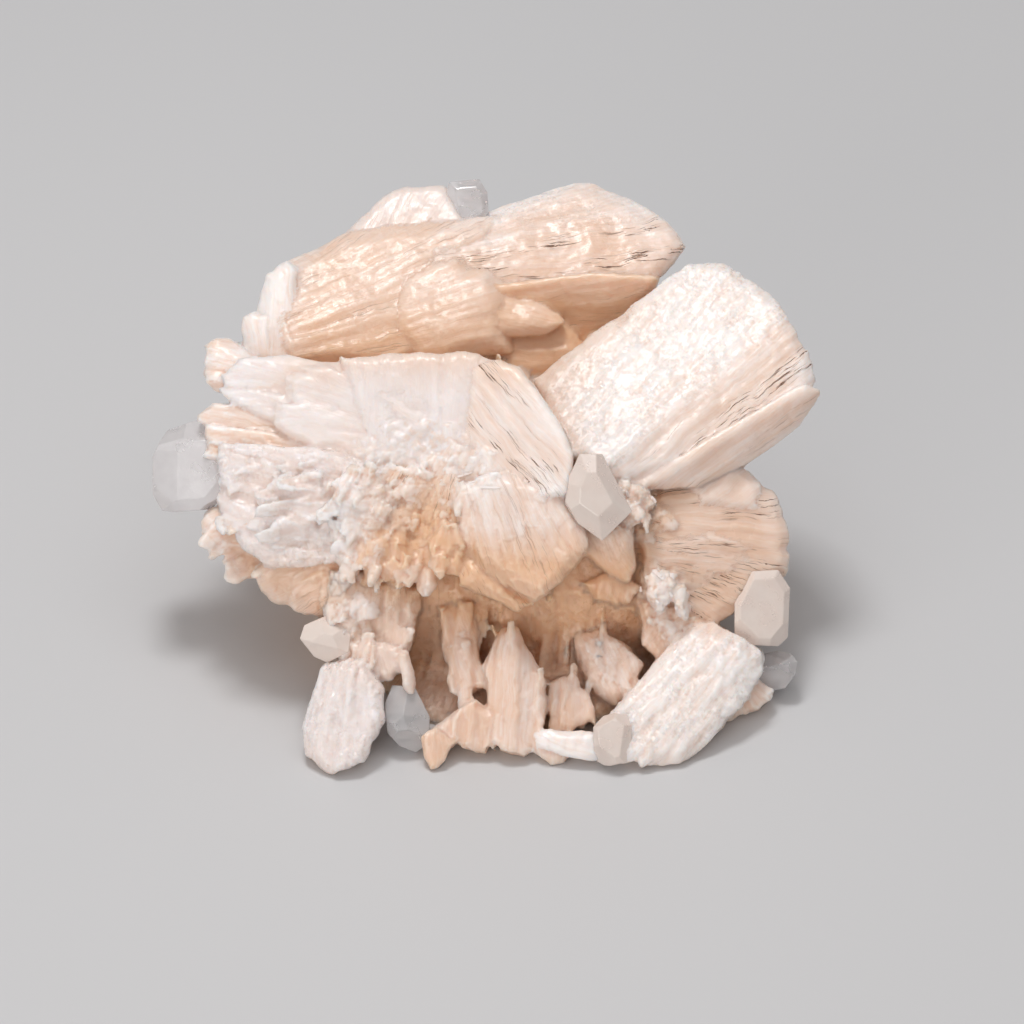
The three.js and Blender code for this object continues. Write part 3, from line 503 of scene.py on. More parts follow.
def crystal_corners(spec):
    """The corners of the crystal's solid: a bevelled front face, the full outline and a smaller back."""
    middle = spec["outline"].mean(0)
    beside = spec["outline"] - middle
    reach = np.hypot(beside[:, 0], beside[:, 1]).min()
    rings = [(1 - spec["bevel"] / reach, 0), (1, spec["bevel"] * 0.8), (1, spec["deep"] * 0.6),
             (spec["taper"], spec["deep"])]
    corners = []
    for scale, back in rings:
        spot = middle + beside * scale
        corners.append(seen(spot[:, 0], spot[:, 1], stand_of(spec, spot[:, 0], spot[:, 1]) - back))
    return np.concatenate(corners)


def shift_to_origin():
    """The shift that puts the pyramid's corners in its node's box."""
    low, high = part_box("apophyllite_pyramid")
    corners = crystal_corners(APOPHYLLITE["apophyllite_pyramid"])
    return (np.array(low) + np.array(high)) / 2 / MM - (corners.min(0) + corners.max(0)) / 2


SHIFT = shift_to_origin()


def lattice(x, y, seed):
    """A fixed number from -1 to 1 for each whole x and y."""
    mixed = (x * 374761393 + y * 668265263 + seed * 974634777) & 0xFFFFFFFF
    mixed = ((mixed ^ (mixed >> 13)) * 1274126177) & 0xFFFFFFFF
    return ((mixed ^ (mixed >> 16)) & 0xFFFF) / 32767.5 - 1


def noise(x, y, seed):
    """Smooth noise from -1 to 1 over the plane."""
    x, y = np.broadcast_arrays(np.asarray(x, float), np.asarray(y, float))
    column, row = np.floor(x).astype(np.int64), np.floor(y).astype(np.int64)
    fx, fy = x - column, y - row
    fx, fy = fx * fx * (3 - 2 * fx), fy * fy * (3 - 2 * fy)
    low = lattice(column, row, seed) * (1 - fx) + lattice(column + 1, row, seed) * fx
    high = lattice(column, row + 1, seed) * (1 - fx) + lattice(column + 1, row + 1, seed) * fx
    return low * (1 - fy) + high * fy


def chips(x, y, seed):
    """Small flat facets side by side: heights from about -1 to 1, with a level and tilt for each facet."""
    x, y = np.broadcast_arrays(np.asarray(x, float), np.asarray(y, float))
    column, row = np.floor(x).astype(np.int64), np.floor(y).astype(np.int64)
    nearest = np.full(x.shape, 1e9)
    height = np.zeros(x.shape)
    for right in (-1, 0, 1):
        for above in (-1, 0, 1):
            i, j = column + right, row + above
            dx = x - (i + 0.5 + 0.45 * lattice(i, j, seed))
            dy = y - (j + 0.5 + 0.45 * lattice(i, j, seed + 1))
            away = dx * dx + dy * dy
            tilted = (0.45 * lattice(i, j, seed + 2) + 0.8 * dx * lattice(i, j, seed + 3)
                      + 0.8 * dy * lattice(i, j, seed + 4))
            height = np.where(away < nearest, tilted, height)
            nearest = np.minimum(nearest, away)
    return height


def convex(points):
    """The convex outline of some points, counter-clockwise."""
    ordered = sorted(map(tuple, points))

    def half(run):
        chain = []
        for p in run:
            while len(chain) > 1 and ((chain[-1][0] - chain[-2][0]) * (p[1] - chain[-2][1])
                                      - (chain[-1][1] - chain[-2][1]) * (p[0] - chain[-2][0])) <= 0:
                chain.pop()
            chain.append(p)
        return chain[:-1]

    return np.array(half(ordered) + half(ordered[::-1]), float)


def edges_of(outline):
    """Inward normals and offsets of a convex outline's edges: inside is normal . p - offset > 0."""
    ahead = np.roll(outline, -1, 0) - outline
    normals = np.stack([-ahead[:, 1], ahead[:, 0]], -1)
    normals /= np.linalg.norm(normals, axis=1)[:, None]
    return normals, (normals * outline).sum(1)


class Shape:
    """Points and faces gathered from many crystals, with what each point's surface is like.

    grain says where a point lies along and beside its crystal's grain, and on which crystal. finish
    holds its whiteness, its tan with painted shade, its cracks and druse. axes are the ways along and
    beside the grain.
    """

    def __init__(self):
        self.points, self.faces, self.grain = [], [], []
        self.finish, self.cool, self.axes = [], [], []
        self.count = 0
        self.normals = None

    def add(self, points, faces, grain, finish, cool=0.0, axes=((0, 0, 0), (0, 0, 0))):
        self.points.append(points)
        self.faces.append(np.asarray(faces) + self.count)
        self.grain.append(grain)
        self.finish.append(finish)
        self.cool.append(np.full(len(points), cool))
        self.axes.append(np.broadcast_to(np.array(axes, float), (len(points), 2, 3)))
        self.count += len(points)


def face_profile(spec, across, up, along, beside, ends, seed):
    """How far each point of a face lies below its plane, and its distance from the face's edge."""
    normals, offsets = edges_of(convex(spec["outline"]))
    rng = np.random.default_rng(seed)
    widths = spec["bevel"] * rng.uniform(0.6, 1.3, len(normals))
    drop = np.zeros(across.shape)
    edge = np.full(across.shape, 1e9)
    for normal, offset, width in zip(normals, offsets, widths):
        distance = normal[0] * across + normal[1] * up - offset
        edge = np.minimum(edge, distance)
        drop = np.maximum(drop, 0.8 * width * np.clip(1 - distance / width, 0, 1) ** spec["rounding"])
    edge = np.minimum(edge, ends)
    drop = np.maximum(drop, 0.5 * spec["bevel"] * np.clip(1 - ends / (0.6 * spec["bevel"]), 0, 1))
    half = np.ptp(beside) / 2
    drop = drop + spec["crown"] * ((beside - beside.mean()) / half) ** 2
    if spec["fold"]:
        drop = drop + spec["fold"][1] * np.maximum(spec["fold"][0] - beside, 0)
    drop = drop - spec["relief"] * (0.6 * noise(along * 0.12, beside * 0.3, seed)
                                    + 0.4 * noise(along * 0.3, beside * 0.8, seed + 1))
    drop = drop - spec["ridge"] * (noise(along * 0.03, beside * 1.3, seed + 2)
                                   + 0.6 * noise(along * 0.06, beside * 3.1, seed + 3))
    drop = drop - spec["druse"] * 0.16 * noise(along * 1.1, beside * 1.6, seed + 4)
    sheets = (noise(along * 0.13, beside * 0.45, seed + 5)
              + 0.4 * noise(along * 0.4, beside * 1.2, seed + 6))
    drop = drop - spec["steps"] * np.round(sheets * 2.5) / 2.5
    return drop, edge


def grow(shape, spec, seed, place, spacing):
    """Adds one crystal as laths side by side that spread from its root, and the layers of its rim."""
    rng = np.random.default_rng(seed)
    outline = convex(spec["outline"])
    middle = spec["outline"].mean(0)
    heading = np.array([math.cos(spec["grain"]), math.sin(spec["grain"])])
    root = middle - heading * spec["spread"]
    normals, offsets = edges_of(outline)
    away = outline - root
    angles = np.arctan2(heading[0] * away[:, 1] - heading[1] * away[:, 0], away @ heading)
    low, high = angles.min() + 2e-3, angles.max() - 2e-3

    # The laths' edges, then the columns within each lath
    cuts = [low]
    while cuts[-1] < high:
        cuts.append(cuts[-1] + spec["lath"] * rng.uniform(0.45, 1.6) / spec["spread"])
    cuts[-1] = high
    turns, laths = [], []
    for index in range(len(cuts) - 1):
        seam = min(0.012 / spec["spread"], (cuts[index + 1] - cuts[index]) * 0.1)
        count = max(2, math.ceil((cuts[index + 1] - cuts[index]) * spec["spread"] / spacing) + 1)
        turns.extend(np.linspace(cuts[index] + seam, cuts[index + 1] - seam, count))
        laths.extend([index] * count)
    turns, laths = np.array(turns), np.array(laths)
    ways = np.stack([heading[0] * np.cos(turns) - heading[1] * np.sin(turns),
                     heading[1] * np.cos(turns) + heading[0] * np.sin(turns)], -1)

    # Where each column enters and leaves the outline
    slopes = ways @ normals.T
    cuts_at = (offsets - root @ normals.T) / np.where(abs(slopes) < 1e-9, 1e-9, slopes)
    start = np.where(slopes > 0, cuts_at, -1e9).max(1)
    stop = np.where(slopes < 0, cuts_at, 1e9).min(1)
    start = np.maximum(start, 0.3)
    stop = np.maximum(stop, start + 0.05)
    room = stop - start
    tips = rng.uniform(0, 1, len(cuts)) ** 1.6
    roots = rng.uniform(0, 1, len(cuts)) ** 1.6
    width_along = turns * spec["spread"]
    fray = 0.25 * (2 + noise(width_along * 0.45, 0, seed + 8) + noise(width_along * 1.7, 0, seed + 9))
    stop = stop - np.minimum(spec["ragged"] * (tips[laths] + fray), room * 0.35)
    start = start + np.minimum(spec["frayed"] * (roots[laths] + fray), room * 0.35)

    # Rows lie closer together near both ends
    longest = room.max()
    ends = np.array([0, 0.12, 0.35, 0.75]) / max(longest, 2.5)
    inner = np.linspace(ends[-1], 1 - ends[-1], max(4, math.ceil(longest / (spacing * 1.25))))
    share = np.concatenate([ends[:-1], inner, 1 - ends[:-1][::-1]])
    reach = start[:, None] + (stop - start)[:, None] * share[None, :]
    spot = root + reach[..., None] * ways[:, None, :]
    across, up = spot[..., 0], spot[..., 1]
    beside = np.broadcast_to((turns * spec["spread"])[:, None], reach.shape)
    ends_away = np.minimum(stop[:, None] - reach, reach - start[:, None] + (0 if spec["frayed"] else 9))
    lift = rng.uniform(-1, 1, len(cuts))[laths][:, None] * spec["lift"]
    tilt = rng.uniform(-1, 1, len(cuts))[laths][:, None] * 0.03

    drop, edge = face_profile(spec, across, up, reach, beside, ends_away, seed)
    lath_middle = np.array([turns[laths == k].mean() for k in range(len(cuts) - 1)])[laths][:, None]
    drop = drop - lift - tilt * (beside - lath_middle * spec["spread"])
    front_out = stand_of(spec, across, up) - np.maximum(drop, -0.6)

    # Crystals grow a little unevenly, so their edges wander
    broad = [noise(across * 0.3, up * 0.3, seed + turn) for turn in (20, 21)]
    small = [noise(across * 1.1, up * 1.1, seed + turn) for turn in (22, 23)]
    sway = spec["warp"] * np.stack(broad, -1) + 0.4 * spec["warp"] * np.stack(small, -1)
    spot = spot + sway
    across, up = spot[..., 0], spot[..., 1]

    # The back face is drawn in by the taper and has relief of its own
    back_spot = middle + (spot - middle) * spec["taper"]
    back_drop, _ = face_profile(spec, across, up, reach, beside, ends_away, seed + 50)
    back_stand = stand_of(spec, back_spot[..., 0], back_spot[..., 1])
    back_out = np.minimum(back_stand - spec["deep"] + np.maximum(back_drop, -0.4), front_out - 0.25)

    columns, rows = reach.shape
    grid = np.arange(columns * rows).reshape(columns, rows)
    loop = np.concatenate([grid[:-1, 0], grid[-1, :-1], grid[:0:-1, -1], grid[0, :0:-1]])
    points = [place(across, up, front_out).reshape(-1, 3)]
    corners = [grid[:-1, :-1], grid[:-1, 1:], grid[1:, 1:], grid[1:, :-1]]
    quads = [np.stack(corners, -1).reshape(-1, 4)]
    points.append(place(back_spot[..., 0], back_spot[..., 1], back_out).reshape(-1, 3))
    back_corners = [corners[0], corners[3], corners[2], corners[1]]
    quads.append(np.stack(back_corners, -1).reshape(-1, 4) + columns * rows)

    # The rim between them, in layers that stand in and out like stacked sheets
    layers = max(3, math.ceil(spec["deep"] / (spacing * 2.4)))
    rim_spot, rim_back = spot.reshape(-1, 2)[loop], back_spot.reshape(-1, 2)[loop]
    rim_front, rim_rear = front_out.reshape(-1)[loop], back_out.reshape(-1)[loop]
    size = max(np.hypot(*(rim_spot - middle).T).mean(), 1)
    previous = loop
    count = 2 * columns * rows
    grains = [np.stack([reach, beside, np.full(reach.shape, seed * 7.3)], -1).reshape(-1, 3)] * 2
    edges = [edge.reshape(-1), edge.reshape(-1)]
    for layer in range(1, layers + 1):
        depth = layer / (layers + 1)
        narrowing = max(0.0, (depth - 0.55) / 0.45)
        wander = noise(np.arange(len(loop)) * 0.09, layer * 5.1, seed)
        jut = 1 + (rng.uniform(-1, 1) * 0.14 + 0.1 * wander) / size
        ring = rim_spot + (rim_back - rim_spot) * narrowing
        ring = middle + (ring - middle) * jut[:, None]
        points.append(place(ring[:, 0], ring[:, 1], rim_front + (rim_rear - rim_front) * depth))
        current = np.arange(count, count + len(loop))
        count += len(loop)
        quads.append(np.stack([previous, np.roll(previous, -1), np.roll(current, -1), current], -1))
        previous = current
        grains.append(np.stack([reach.reshape(-1)[loop], np.full(len(loop), layer * spacing * 2.4),
                                np.full(len(loop), seed * 7.3 + 3)], -1))
        edges.append(np.zeros(len(loop)))
    last = loop + columns * rows
    quads.append(np.stack([previous, np.roll(previous, -1), np.roll(last, -1), last], -1))

    near_edge = np.exp(-np.maximum(np.concatenate(edges), 0) / 1.1)
    whiteness = np.clip(spec["white"] + 0.22 * near_edge, 0, 1)
    # The second finish value is the crystal's tan, partly own tone and partly painted shade
    finish = np.stack([whiteness, np.full(count, spec["tan"]), np.full(count, spec["cracks"]),
                       np.full(count, spec["druse"])], -1)
    if spec["fold"] and spec["cracks"]:
        folded = np.clip((spec["fold"][0] - np.concatenate(grains)[:, 1]) / 2.5, 0, 1)
        finish[:, 0] -= 0.25 * folded
        finish[:, 2] *= folded
        finish[:, 3] *= 1 - folded
    probe = place(*np.stack([middle, middle + heading, middle + (-heading[1], heading[0])], -1),
                  np.full(3, spec["out"]))
    shape.add(np.concatenate(points), np.concatenate(quads), np.concatenate(grains), finish, spec["cool"],
              (probe[1] - probe[0], probe[2] - probe[0]))


def sight_place(across, up, out):
    return seen(across, up, out) + SHIFT


def sheaf(root, tip, width, thick, roll):
    """A hidden sheaf as a crystal spec, and the placing of its own flat axes."""
    start, end = np.array(root, float), np.array(tip, float)
    length = np.linalg.norm(end - start)
    along = (end - start) / length
    level = np.cross([0, 0, 1], along)
    level /= np.linalg.norm(level)
    turn = math.radians(roll)
    side = level * math.cos(turn) + np.cross(along, level) * math.sin(turn)
    face = np.cross(along, side)
    outline = [[0, -0.3 * width], [0.92 * length, -0.5 * width], [length, -0.34 * width],
               [length, 0.34 * width], [0.92 * length, 0.5 * width], [0, 0.3 * width]]
    spec = blade(outline, thick / 2, deep=thick, bevel=1.2, taper=0.88, grain=0, spread=length * 0.8,
                 lath=2.4, ragged=3.4, crown=2.0, relief=0.6, ridge=0.12, lift=0.6, white=0.3,
                 cracks=0.6, druse=0.3)

    def place(across, up, out):
        return (start + across[..., None] * along + up[..., None] * side + out[..., None] * face) + SHIFT

    return spec, place


def rock(shape, rings, seed):
    """A rough lump through corner rings at rising heights, closed over its top and bottom."""
    turns = np.linspace(0, 2 * math.pi, math.ceil(170 / ROCK_SPACING), endpoint=False)
    middle = np.mean([corner for _, ring in rings for corner in ring], axis=0)
    profiles = []
    for height, ring in rings:
        normals, offsets = edges_of(convex(ring))
        ways = np.stack([np.cos(turns), np.sin(turns)], -1)
        slopes = ways @ normals.T
        crossings = (offsets - middle @ normals.T) / np.where(slopes < 0, slopes, -1)
        profiles.append((height, np.where(slopes < 0, crossings, 1e9).min(1)))
    rows = []
    for (low, inner), (high, outer) in zip(profiles, profiles[1:]):
        steps = max(2, math.ceil((high - low) / ROCK_SPACING))
        for step in range(steps):
            share = step / steps
            rows.append((low + (high - low) * share, inner + (outer - inner) * share))
    rows.append(profiles[-1])
    top_height, top_reach = profiles[-1]
    for share in np.linspace(0.96, 0, math.ceil(18 / ROCK_SPACING)):
        rows.append((top_height + 0.6 * (1 - share), top_reach * share))
    bottom = profiles[0]
    floor_shares = np.linspace(0, 0.97, math.ceil(24 / ROCK_SPACING))
    rows = [(bottom[0], bottom[1] * share) for share in floor_shares] + rows
    heights = np.array([height for height, _ in rows])[:, None]
    reach = np.array([r for _, r in rows])
    level = np.arange(len(rows))[:, None] * 1.0
    around = turns[None, :] * 24
    bump = (0.5 * noise(around * 0.45, level * 0.3 * ROCK_SPACING, seed)
            + 0.3 * noise(around * 1.1, level * 0.8, seed + 1))
    reach = np.maximum(reach + np.where(reach > 6, bump - 0.4, 0), 0)
    x = middle[0] + reach * np.cos(turns)
    y = middle[1] + reach * np.sin(turns)
    z = heights + 0.5 * noise(x * 0.6, y * 0.6, seed + 2)
    points = np.stack([x, y, np.broadcast_to(z, x.shape)], -1).reshape(-1, 3) + SHIFT
    grid = np.arange(points.shape[0]).reshape(x.shape)
    right = np.roll(grid, -1, 1)
    quads = np.stack([grid[:-1], right[:-1], right[1:], grid[1:]], -1).reshape(-1, 4)
    grain = np.stack([z.ravel(), np.broadcast_to(around, x.shape).ravel(),
                      np.full(x.size, seed * 3.1)], -1)
    finish = np.tile([0.05, 0.0, 0.25, 0.5], (x.size, 1))
    shape.add(points, quads, grain, finish)


def sprigs(shape, base, heading, side, length, width, thick, white, cool, rng):
    """Many small tabular crystals at once, each with a shoulder and a slanted blunt tip."""
    count = len(base)
    if count == 0:
        return
    heading = heading / np.linalg.norm(heading, axis=1)[:, None]
    side = side - (side * heading).sum(1)[:, None] * heading
    side /= np.maximum(np.linalg.norm(side, axis=1), 1e-6)[:, None]
    face = np.cross(heading, side)
    section = np.array([(1, -0.55), (1, 0.55), (0.62, 1), (-0.62, 1), (-1, 0.55), (-1, -0.55),
                        (-0.62, -1), (0.62, -1)]) / 2
    shoulder = rng.uniform(0.55, 0.85, count)
    narrow = rng.uniform(0.3, 0.85, count)
    slant = rng.uniform(-0.5, 0.5, count)
    rings = []
    stages = [(0 * shoulder - 0.45, 0.85, 0.85, 0 * slant), (shoulder, 1.0, 1.0, 0.3 * slant),
              (1 + 0 * shoulder, narrow, 0.45 + 0.4 * narrow, slant)]
    for along, wide, deep, tilt in stages:
        w = section[None, :, 0] * (width * wide)[:, None]
        t = section[None, :, 1] * (thick * deep)[:, None]
        a = (length * along)[:, None] + tilt[:, None] * w
        rings.append(base[:, None] + a[..., None] * heading[:, None]
                     + w[..., None] * side[:, None] + t[..., None] * face[:, None])
    points = np.concatenate(rings, 1)
    quads = []
    for ring in (0, 8):
        for k in range(8):
            quads.append((ring + k, ring + (k + 1) % 8, ring + 8 + (k + 1) % 8, ring + 8 + k))
    quads += [(16, 17, 18, 19), (16, 19, 20, 23), (23, 20, 21, 22)]
    quads += [(3, 2, 1, 0), (7, 4, 3, 0), (6, 5, 4, 7)]
    faces = (np.array(quads)[None] + 24 * np.arange(count)[:, None, None]).reshape(-1, 4)
    share = np.repeat([0.0, 0.75, 1.0], 8)[None, :] * np.ones((count, 1))
    grain = np.stack([share * length[:, None], np.tile(section[:, 0], 3)[None, :] * width[:, None],
                      np.arange(count)[:, None] * 3.7 + 0 * share], -1).reshape(-1, 3)
    whiteness = np.clip(white[:, None] + (share - 0.6) * 0.5, 0, 1)
    finish = np.stack([whiteness, 0 * share, 0 * share, 0 * share + 0.1], -1).reshape(-1, 4)
    shape.add(points.reshape(-1, 3), faces, grain, finish, cool)


def plain_mesh(name, points, faces):
    """A mesh of four-sided faces from points in millimetres."""
    mesh = bpy.data.meshes.new(name)
    mesh.vertices.add(len(points))
    mesh.vertices.foreach_set("co", (points * MM).astype(np.float32).ravel())
    mesh.loops.add(faces.size)
    mesh.loops.foreach_set("vertex_index", faces.astype(np.int32).ravel())
    mesh.polygons.add(len(faces))
    mesh.polygons.foreach_set("loop_start", np.arange(0, faces.size, 4, dtype=np.int32))
    mesh.update(calc_edges=True)
    return mesh


def tree_of(shapes):
    """A search tree of all the surfaces, for seating small crystals, and where each shape's faces end."""
    points, faces, total = [], [], 0
    for shape in shapes:
        points.append(np.concatenate(shape.points))
        faces.append(np.concatenate(shape.faces) + total)
        total += len(points[-1])
    ends = np.cumsum([len(part) for part in faces])
    tree = BVHTree.FromPolygons(np.concatenate(points).tolist(), np.concatenate(faces).tolist())
    return tree, ends


def normals_of(points, faces):
    """A normal at every point, from the faces around it."""
    first, second = points[faces[:, 2]] - points[faces[:, 0]], points[faces[:, 3]] - points[faces[:, 1]]
    across = np.cross(first, second)
    total = np.zeros(points.shape)
    for corner in range(4):
        np.add.at(total, faces[:, corner], across)
    return total / np.maximum(np.linalg.norm(total, axis=1), 1e-9)[:, None]


def view_of(points):
    """Where points stand in the front view: across, up and out."""
    x, y, z = (points - SHIFT - (0, 0, MIDDLE_HEIGHT)).T
    out = z * math.sin(SIGHT_ANGLE) - y * math.cos(SIGHT_ANGLE)
    nearer = 1 - out / SIGHT_DISTANCE
    return x / nearer, (y * math.sin(SIGHT_ANGLE) + z * math.cos(SIGHT_ANGLE)) / nearer, out


def roughen(points, normals, finish, grain):
    """Lines the fused skin along its grain, and raises it into flakes in its rough zones."""
    across, up, out = view_of(points)
    facing = np.clip(normals @ SIGHT * 3 + 1, 0, 1)
    rise = (0.04 * noise(points[:, 0] * 1.6 + points[:, 2], points[:, 1] * 1.6, 64)
            + 0.09 * noise(grain[:, 0] * 0.08, grain[:, 1] * 0.9 + grain[:, 2], 61)
            + 0.05 * noise(grain[:, 0] * 0.15, grain[:, 1] * 1.9 + grain[:, 2], 62))
    for index, row in enumerate(ZONES):
        edges, offsets = edges_of(convex(row["outline"]))
        depth = (np.stack([across, up], -1) @ edges.T - offsets).min(1)
        weight = np.clip(depth / row["edge"] + 0.5, 0, 1) * facing
        along = across * math.cos(row["grain"]) + up * math.sin(row["grain"])
        along = along / row["pitch"] / row["stretch"]
        beside = up * math.cos(row["grain"]) - across * math.sin(row["grain"]) + out * 0.7
        beside = beside / row["pitch"]
        bumps = (0.7 * chips(along, beside, 300 + index)
                 + 0.4 * chips(along * 2.1, beside * 2.1, 400 + index)
                 + 0.35 * noise(along * 0.5, beside * 0.5, 500 + index))
        rise += weight * row["height"] * bumps
        whiter = weight * (row["white"] + row["speckle"] * bumps * 0.7)
        finish[:, 0] = np.clip(finish[:, 0] + whiter, 0, 1)
        # A zone's tan, which in the shaded zones is painted shade
        finish[:, 1] += weight * row["tan"]
    return points + normals * rise[:, None] * np.clip(points[:, 2:3], 0, 1)


def relaxed(points, faces):
    """Draws every point towards the ones beside it, so that the steps of the skin melt together."""
    links = np.concatenate([faces[:, [k, (k + 1) % 4]] for k in range(4)])
    links = np.concatenate([links, links[:, ::-1]])
    count = np.maximum(np.bincount(links[:, 0], minlength=len(points)), 1)[:, None]
    total = [np.bincount(links[:, 0], points[links[:, 1], k], len(points)) for k in range(3)]
    middle = np.stack(total, -1) / count
    return np.where(points[:, 2:3] > 0.3, points + 0.5 * (middle - points), points)


def without_voids(points, faces):
    """The faces of the outer skin, without the small closed hollows and crumbs apart from it."""
    label = np.arange(len(points))
    while True:
        lowest = label[faces].min(1)
        before = label.copy()
        for corner in range(4):
            np.minimum.at(label, faces[:, corner], lowest)
        label = label[label]
        if (label == before).all():
            break
    size = np.bincount(label[faces[:, 0]], minlength=len(points))
    return faces[size[label[faces[:, 0]]] >= SMALLEST_SKIN]


def grounded(points, faces):
    """Below the ground only the faces right under the specimen stay, as its rough broken underside."""
    tree = BVHTree.FromPolygons(points.tolist(), faces.tolist())
    low = np.where((points[faces, 2] < 0).all(1))[0]
    normals = normals_of(points, faces)
    keep = np.ones(len(faces), bool)
    for index in low:
        x, y = points[faces[index], :2].mean(0)
        hit, facing, _, _ = tree.ray_cast(Vector((x, y, 0.05)), Vector((0, 0, 1)))
        keep[index] = normals[faces[index, 0], 2] < -0.1 and hit is not None and facing.z > 0
    depth = np.clip(-points[:, 2] / 2, 0, 1)
    rough = 0.4 + 0.4 * noise(points[:, 0] * 0.3, points[:, 1] * 0.3, 91)
    points[:, 2] = np.where(points[:, 2] < 0, depth * rough, points[:, 2])
    return points, faces[keep]


def fuse(shapes, voxel):
    """Grows all the crystals together into one skin, then shares it out by what is nearest."""
    points = np.concatenate([p for shape in shapes for p in shape.points])
    owners = np.concatenate([np.full(shape.count, index) for index, shape in enumerate(shapes)])
    faces, total = [], 0
    for shape in shapes:
        faces += [part + total for part in shape.faces]
        total += shape.count
    joined = plain_mesh("joined", points, np.concatenate(faces))
    holder = bpy.data.objects.new("joined", joined)
    bpy.context.collection.objects.link(holder)
    growth = holder.modifiers.new("grown together", "REMESH")
    growth.mode = "VOXEL"
    growth.voxel_size = voxel * MM
    skin = holder.evaluated_get(bpy.context.evaluated_depsgraph_get()).to_mesh()
    new_points = np.empty(len(skin.vertices) * 3, np.float32)
    skin.vertices.foreach_get("co", new_points)
    new_points = new_points.reshape(-1, 3).astype(float) / MM
    corners = np.empty(len(skin.loops), np.int32)
    skin.loops.foreach_get("vertex_index", corners)
    new_faces = without_voids(new_points, corners.reshape(-1, 4))
    bpy.data.objects.remove(holder)
    bpy.data.meshes.remove(joined)

    # What each new point takes over from the old point nearest to it
    nearby = KDTree(len(points))
    for index, point in enumerate(points.tolist()):
        nearby.insert(point, index)
    nearby.balance()
    source = np.array([nearby.find(point)[1] for point in new_points.tolist()])
    new_points, new_faces = grounded(new_points, new_faces)
    aside = new_points - points[source]
    axes = np.concatenate([a for shape in shapes for a in shape.axes])[source]
    grain = np.concatenate([g for shape in shapes for g in shape.grain])[source]
    grain[:, :2] += np.einsum("nij,nj->ni", axes, aside)
    finish = np.concatenate([f for shape in shapes for f in shape.finish])[source]
    cool = np.concatenate([c for shape in shapes for c in shape.cool])[source]
    new_points = relaxed(new_points, new_faces)
    normals = normals_of(new_points, new_faces)
    owner = owners[source]
    new_points = roughen(new_points, normals, finish, grain)
    normals = normals_of(new_points, new_faces)
    fused = []
    for index in range(len(shapes)):
        part = new_faces[owner[new_faces[:, 0]] == index]
        used = np.unique(part)
        renumber = np.zeros(len(new_points), int)
        renumber[used] = np.arange(len(used))
        shape = Shape()
        if len(used):
            shape.add(new_points[used], renumber[part], grain[used], finish[used])
            shape.cool = [cool[used]]
            shape.normals = normals[used]
        fused.append(shape)
    return fused


def inside_outline(outline, spots):
    normals, offsets = edges_of(convex(outline))
    return ((spots @ normals.T - offsets) > 0).all(1)


def scatter_patch(shapes, tree, ends, crop, rng):
    """Small crystals on what shows through one outline, each in the shape that goes with its seat."""
    outline = np.array(crop["outline"], float)
    low, high = outline.min(0), outline.max(0)
    bases, headings, sides, seats = [], [], [], []
    angle_low, angle_high = crop["angles"]
    stand = crop["stand"]
    for across, up in rng.uniform(low, high, (crop["count"] * 4, 2)):
        if len(bases) >= crop["count"]:
            break
        if not inside_outline(outline, np.array([[across, up]]))[0]:
            continue
        sight_line = seen(np.array([across, across]), np.array([up, up]), np.array([60.0, -60.0])) + SHIFT
        near, far = sight_line
        hit, normal, face, _ = tree.ray_cast(Vector(near), Vector(far - near).normalized())
        if hit is None:
            continue
        seats.append(np.searchsorted(ends, face, side="right"))
        swing = noise(across * 0.22, up * 0.22, 77) + rng.uniform(-0.25, 0.25)
        turn = math.radians((angle_low + angle_high) / 2 + (angle_high - angle_low) / 2 * swing)
        flat = np.array([math.cos(turn), math.sin(turn) * math.sin(SIGHT_ANGLE),
                         math.sin(turn) * math.cos(SIGHT_ANGLE)])
        heading = flat * (1 - stand) + np.array(normal) * stand + rng.uniform(-0.2, 0.2, 3)
        bases.append(np.array(hit))
        headings.append(heading)
        sides.append(np.cross(np.array(normal) + rng.uniform(-0.3, 0.3, 3), heading))
    count = len(bases)
    small, large = crop["sizes"]
    length = small + (large - small) * rng.uniform(0, 1, count) ** 2
    width = length * rng.uniform(*crop["widths"], count)
    thick = np.maximum(width * rng.uniform(*crop["thicks"], count), 0.4)
    white = crop["white"] + rng.uniform(-0.15, 0.15, count)
    bases, headings, sides, seats = (np.array(part) for part in (bases, headings, sides, seats))
    for index, shape in enumerate(shapes):
        own = seats == index
        sprigs(shape, bases[own], headings[own], sides[own], length[own], width[own], thick[own],
               white[own], crop["cool"], rng)


def scatter_around(shape, tree, count, sizes, rng):
    """Crystals over the sides and back, which do not show from the front."""
    middle = np.array([0, 4, 18]) + SHIFT
    sight = Vector(SIGHT)
    bases, headings, sides = [], [], []
    for _ in range(count * 3):
        if len(bases) >= count:
            break
        way = rng.normal(0, 1, 3)
        way /= np.linalg.norm(way)
        if way[2] < -0.5:
            continue
        aim = middle + rng.uniform(-1, 1, 3) * (26, 22, 10)
        hit, normal, _, _ = tree.ray_cast(Vector(aim + way * 120), Vector(-way))
        if hit is None or hit.z < 0.6:
            continue
        heights = (0.3, sizes[1] * 0.6, sizes[1])
        if any(tree.ray_cast(hit + normal * height, sight)[0] is None for height in heights):
            continue
        outward = np.array(hit) - middle
        outward /= np.linalg.norm(outward)
        bases.append(np.array(hit))
        headings.append(outward * 0.9 + np.array(normal) * 0.2 + rng.uniform(-0.25, 0.25, 3))
        sides.append(np.cross(np.array(normal) + rng.uniform(-0.4, 0.4, 3), outward))
    number = len(bases)
    length = sizes[0] + (sizes[1] - sizes[0]) * rng.uniform(0, 1, number) ** 2.2
    width = length * rng.uniform(0.5, 1.0, number)
    thick = np.maximum(width * rng.uniform(0.25, 0.5, number), 0.5)
    sprigs(shape, np.array(bases), np.array(headings), np.array(sides), length, width, thick,
           rng.uniform(0.1, 0.7, number), 0.1, rng)


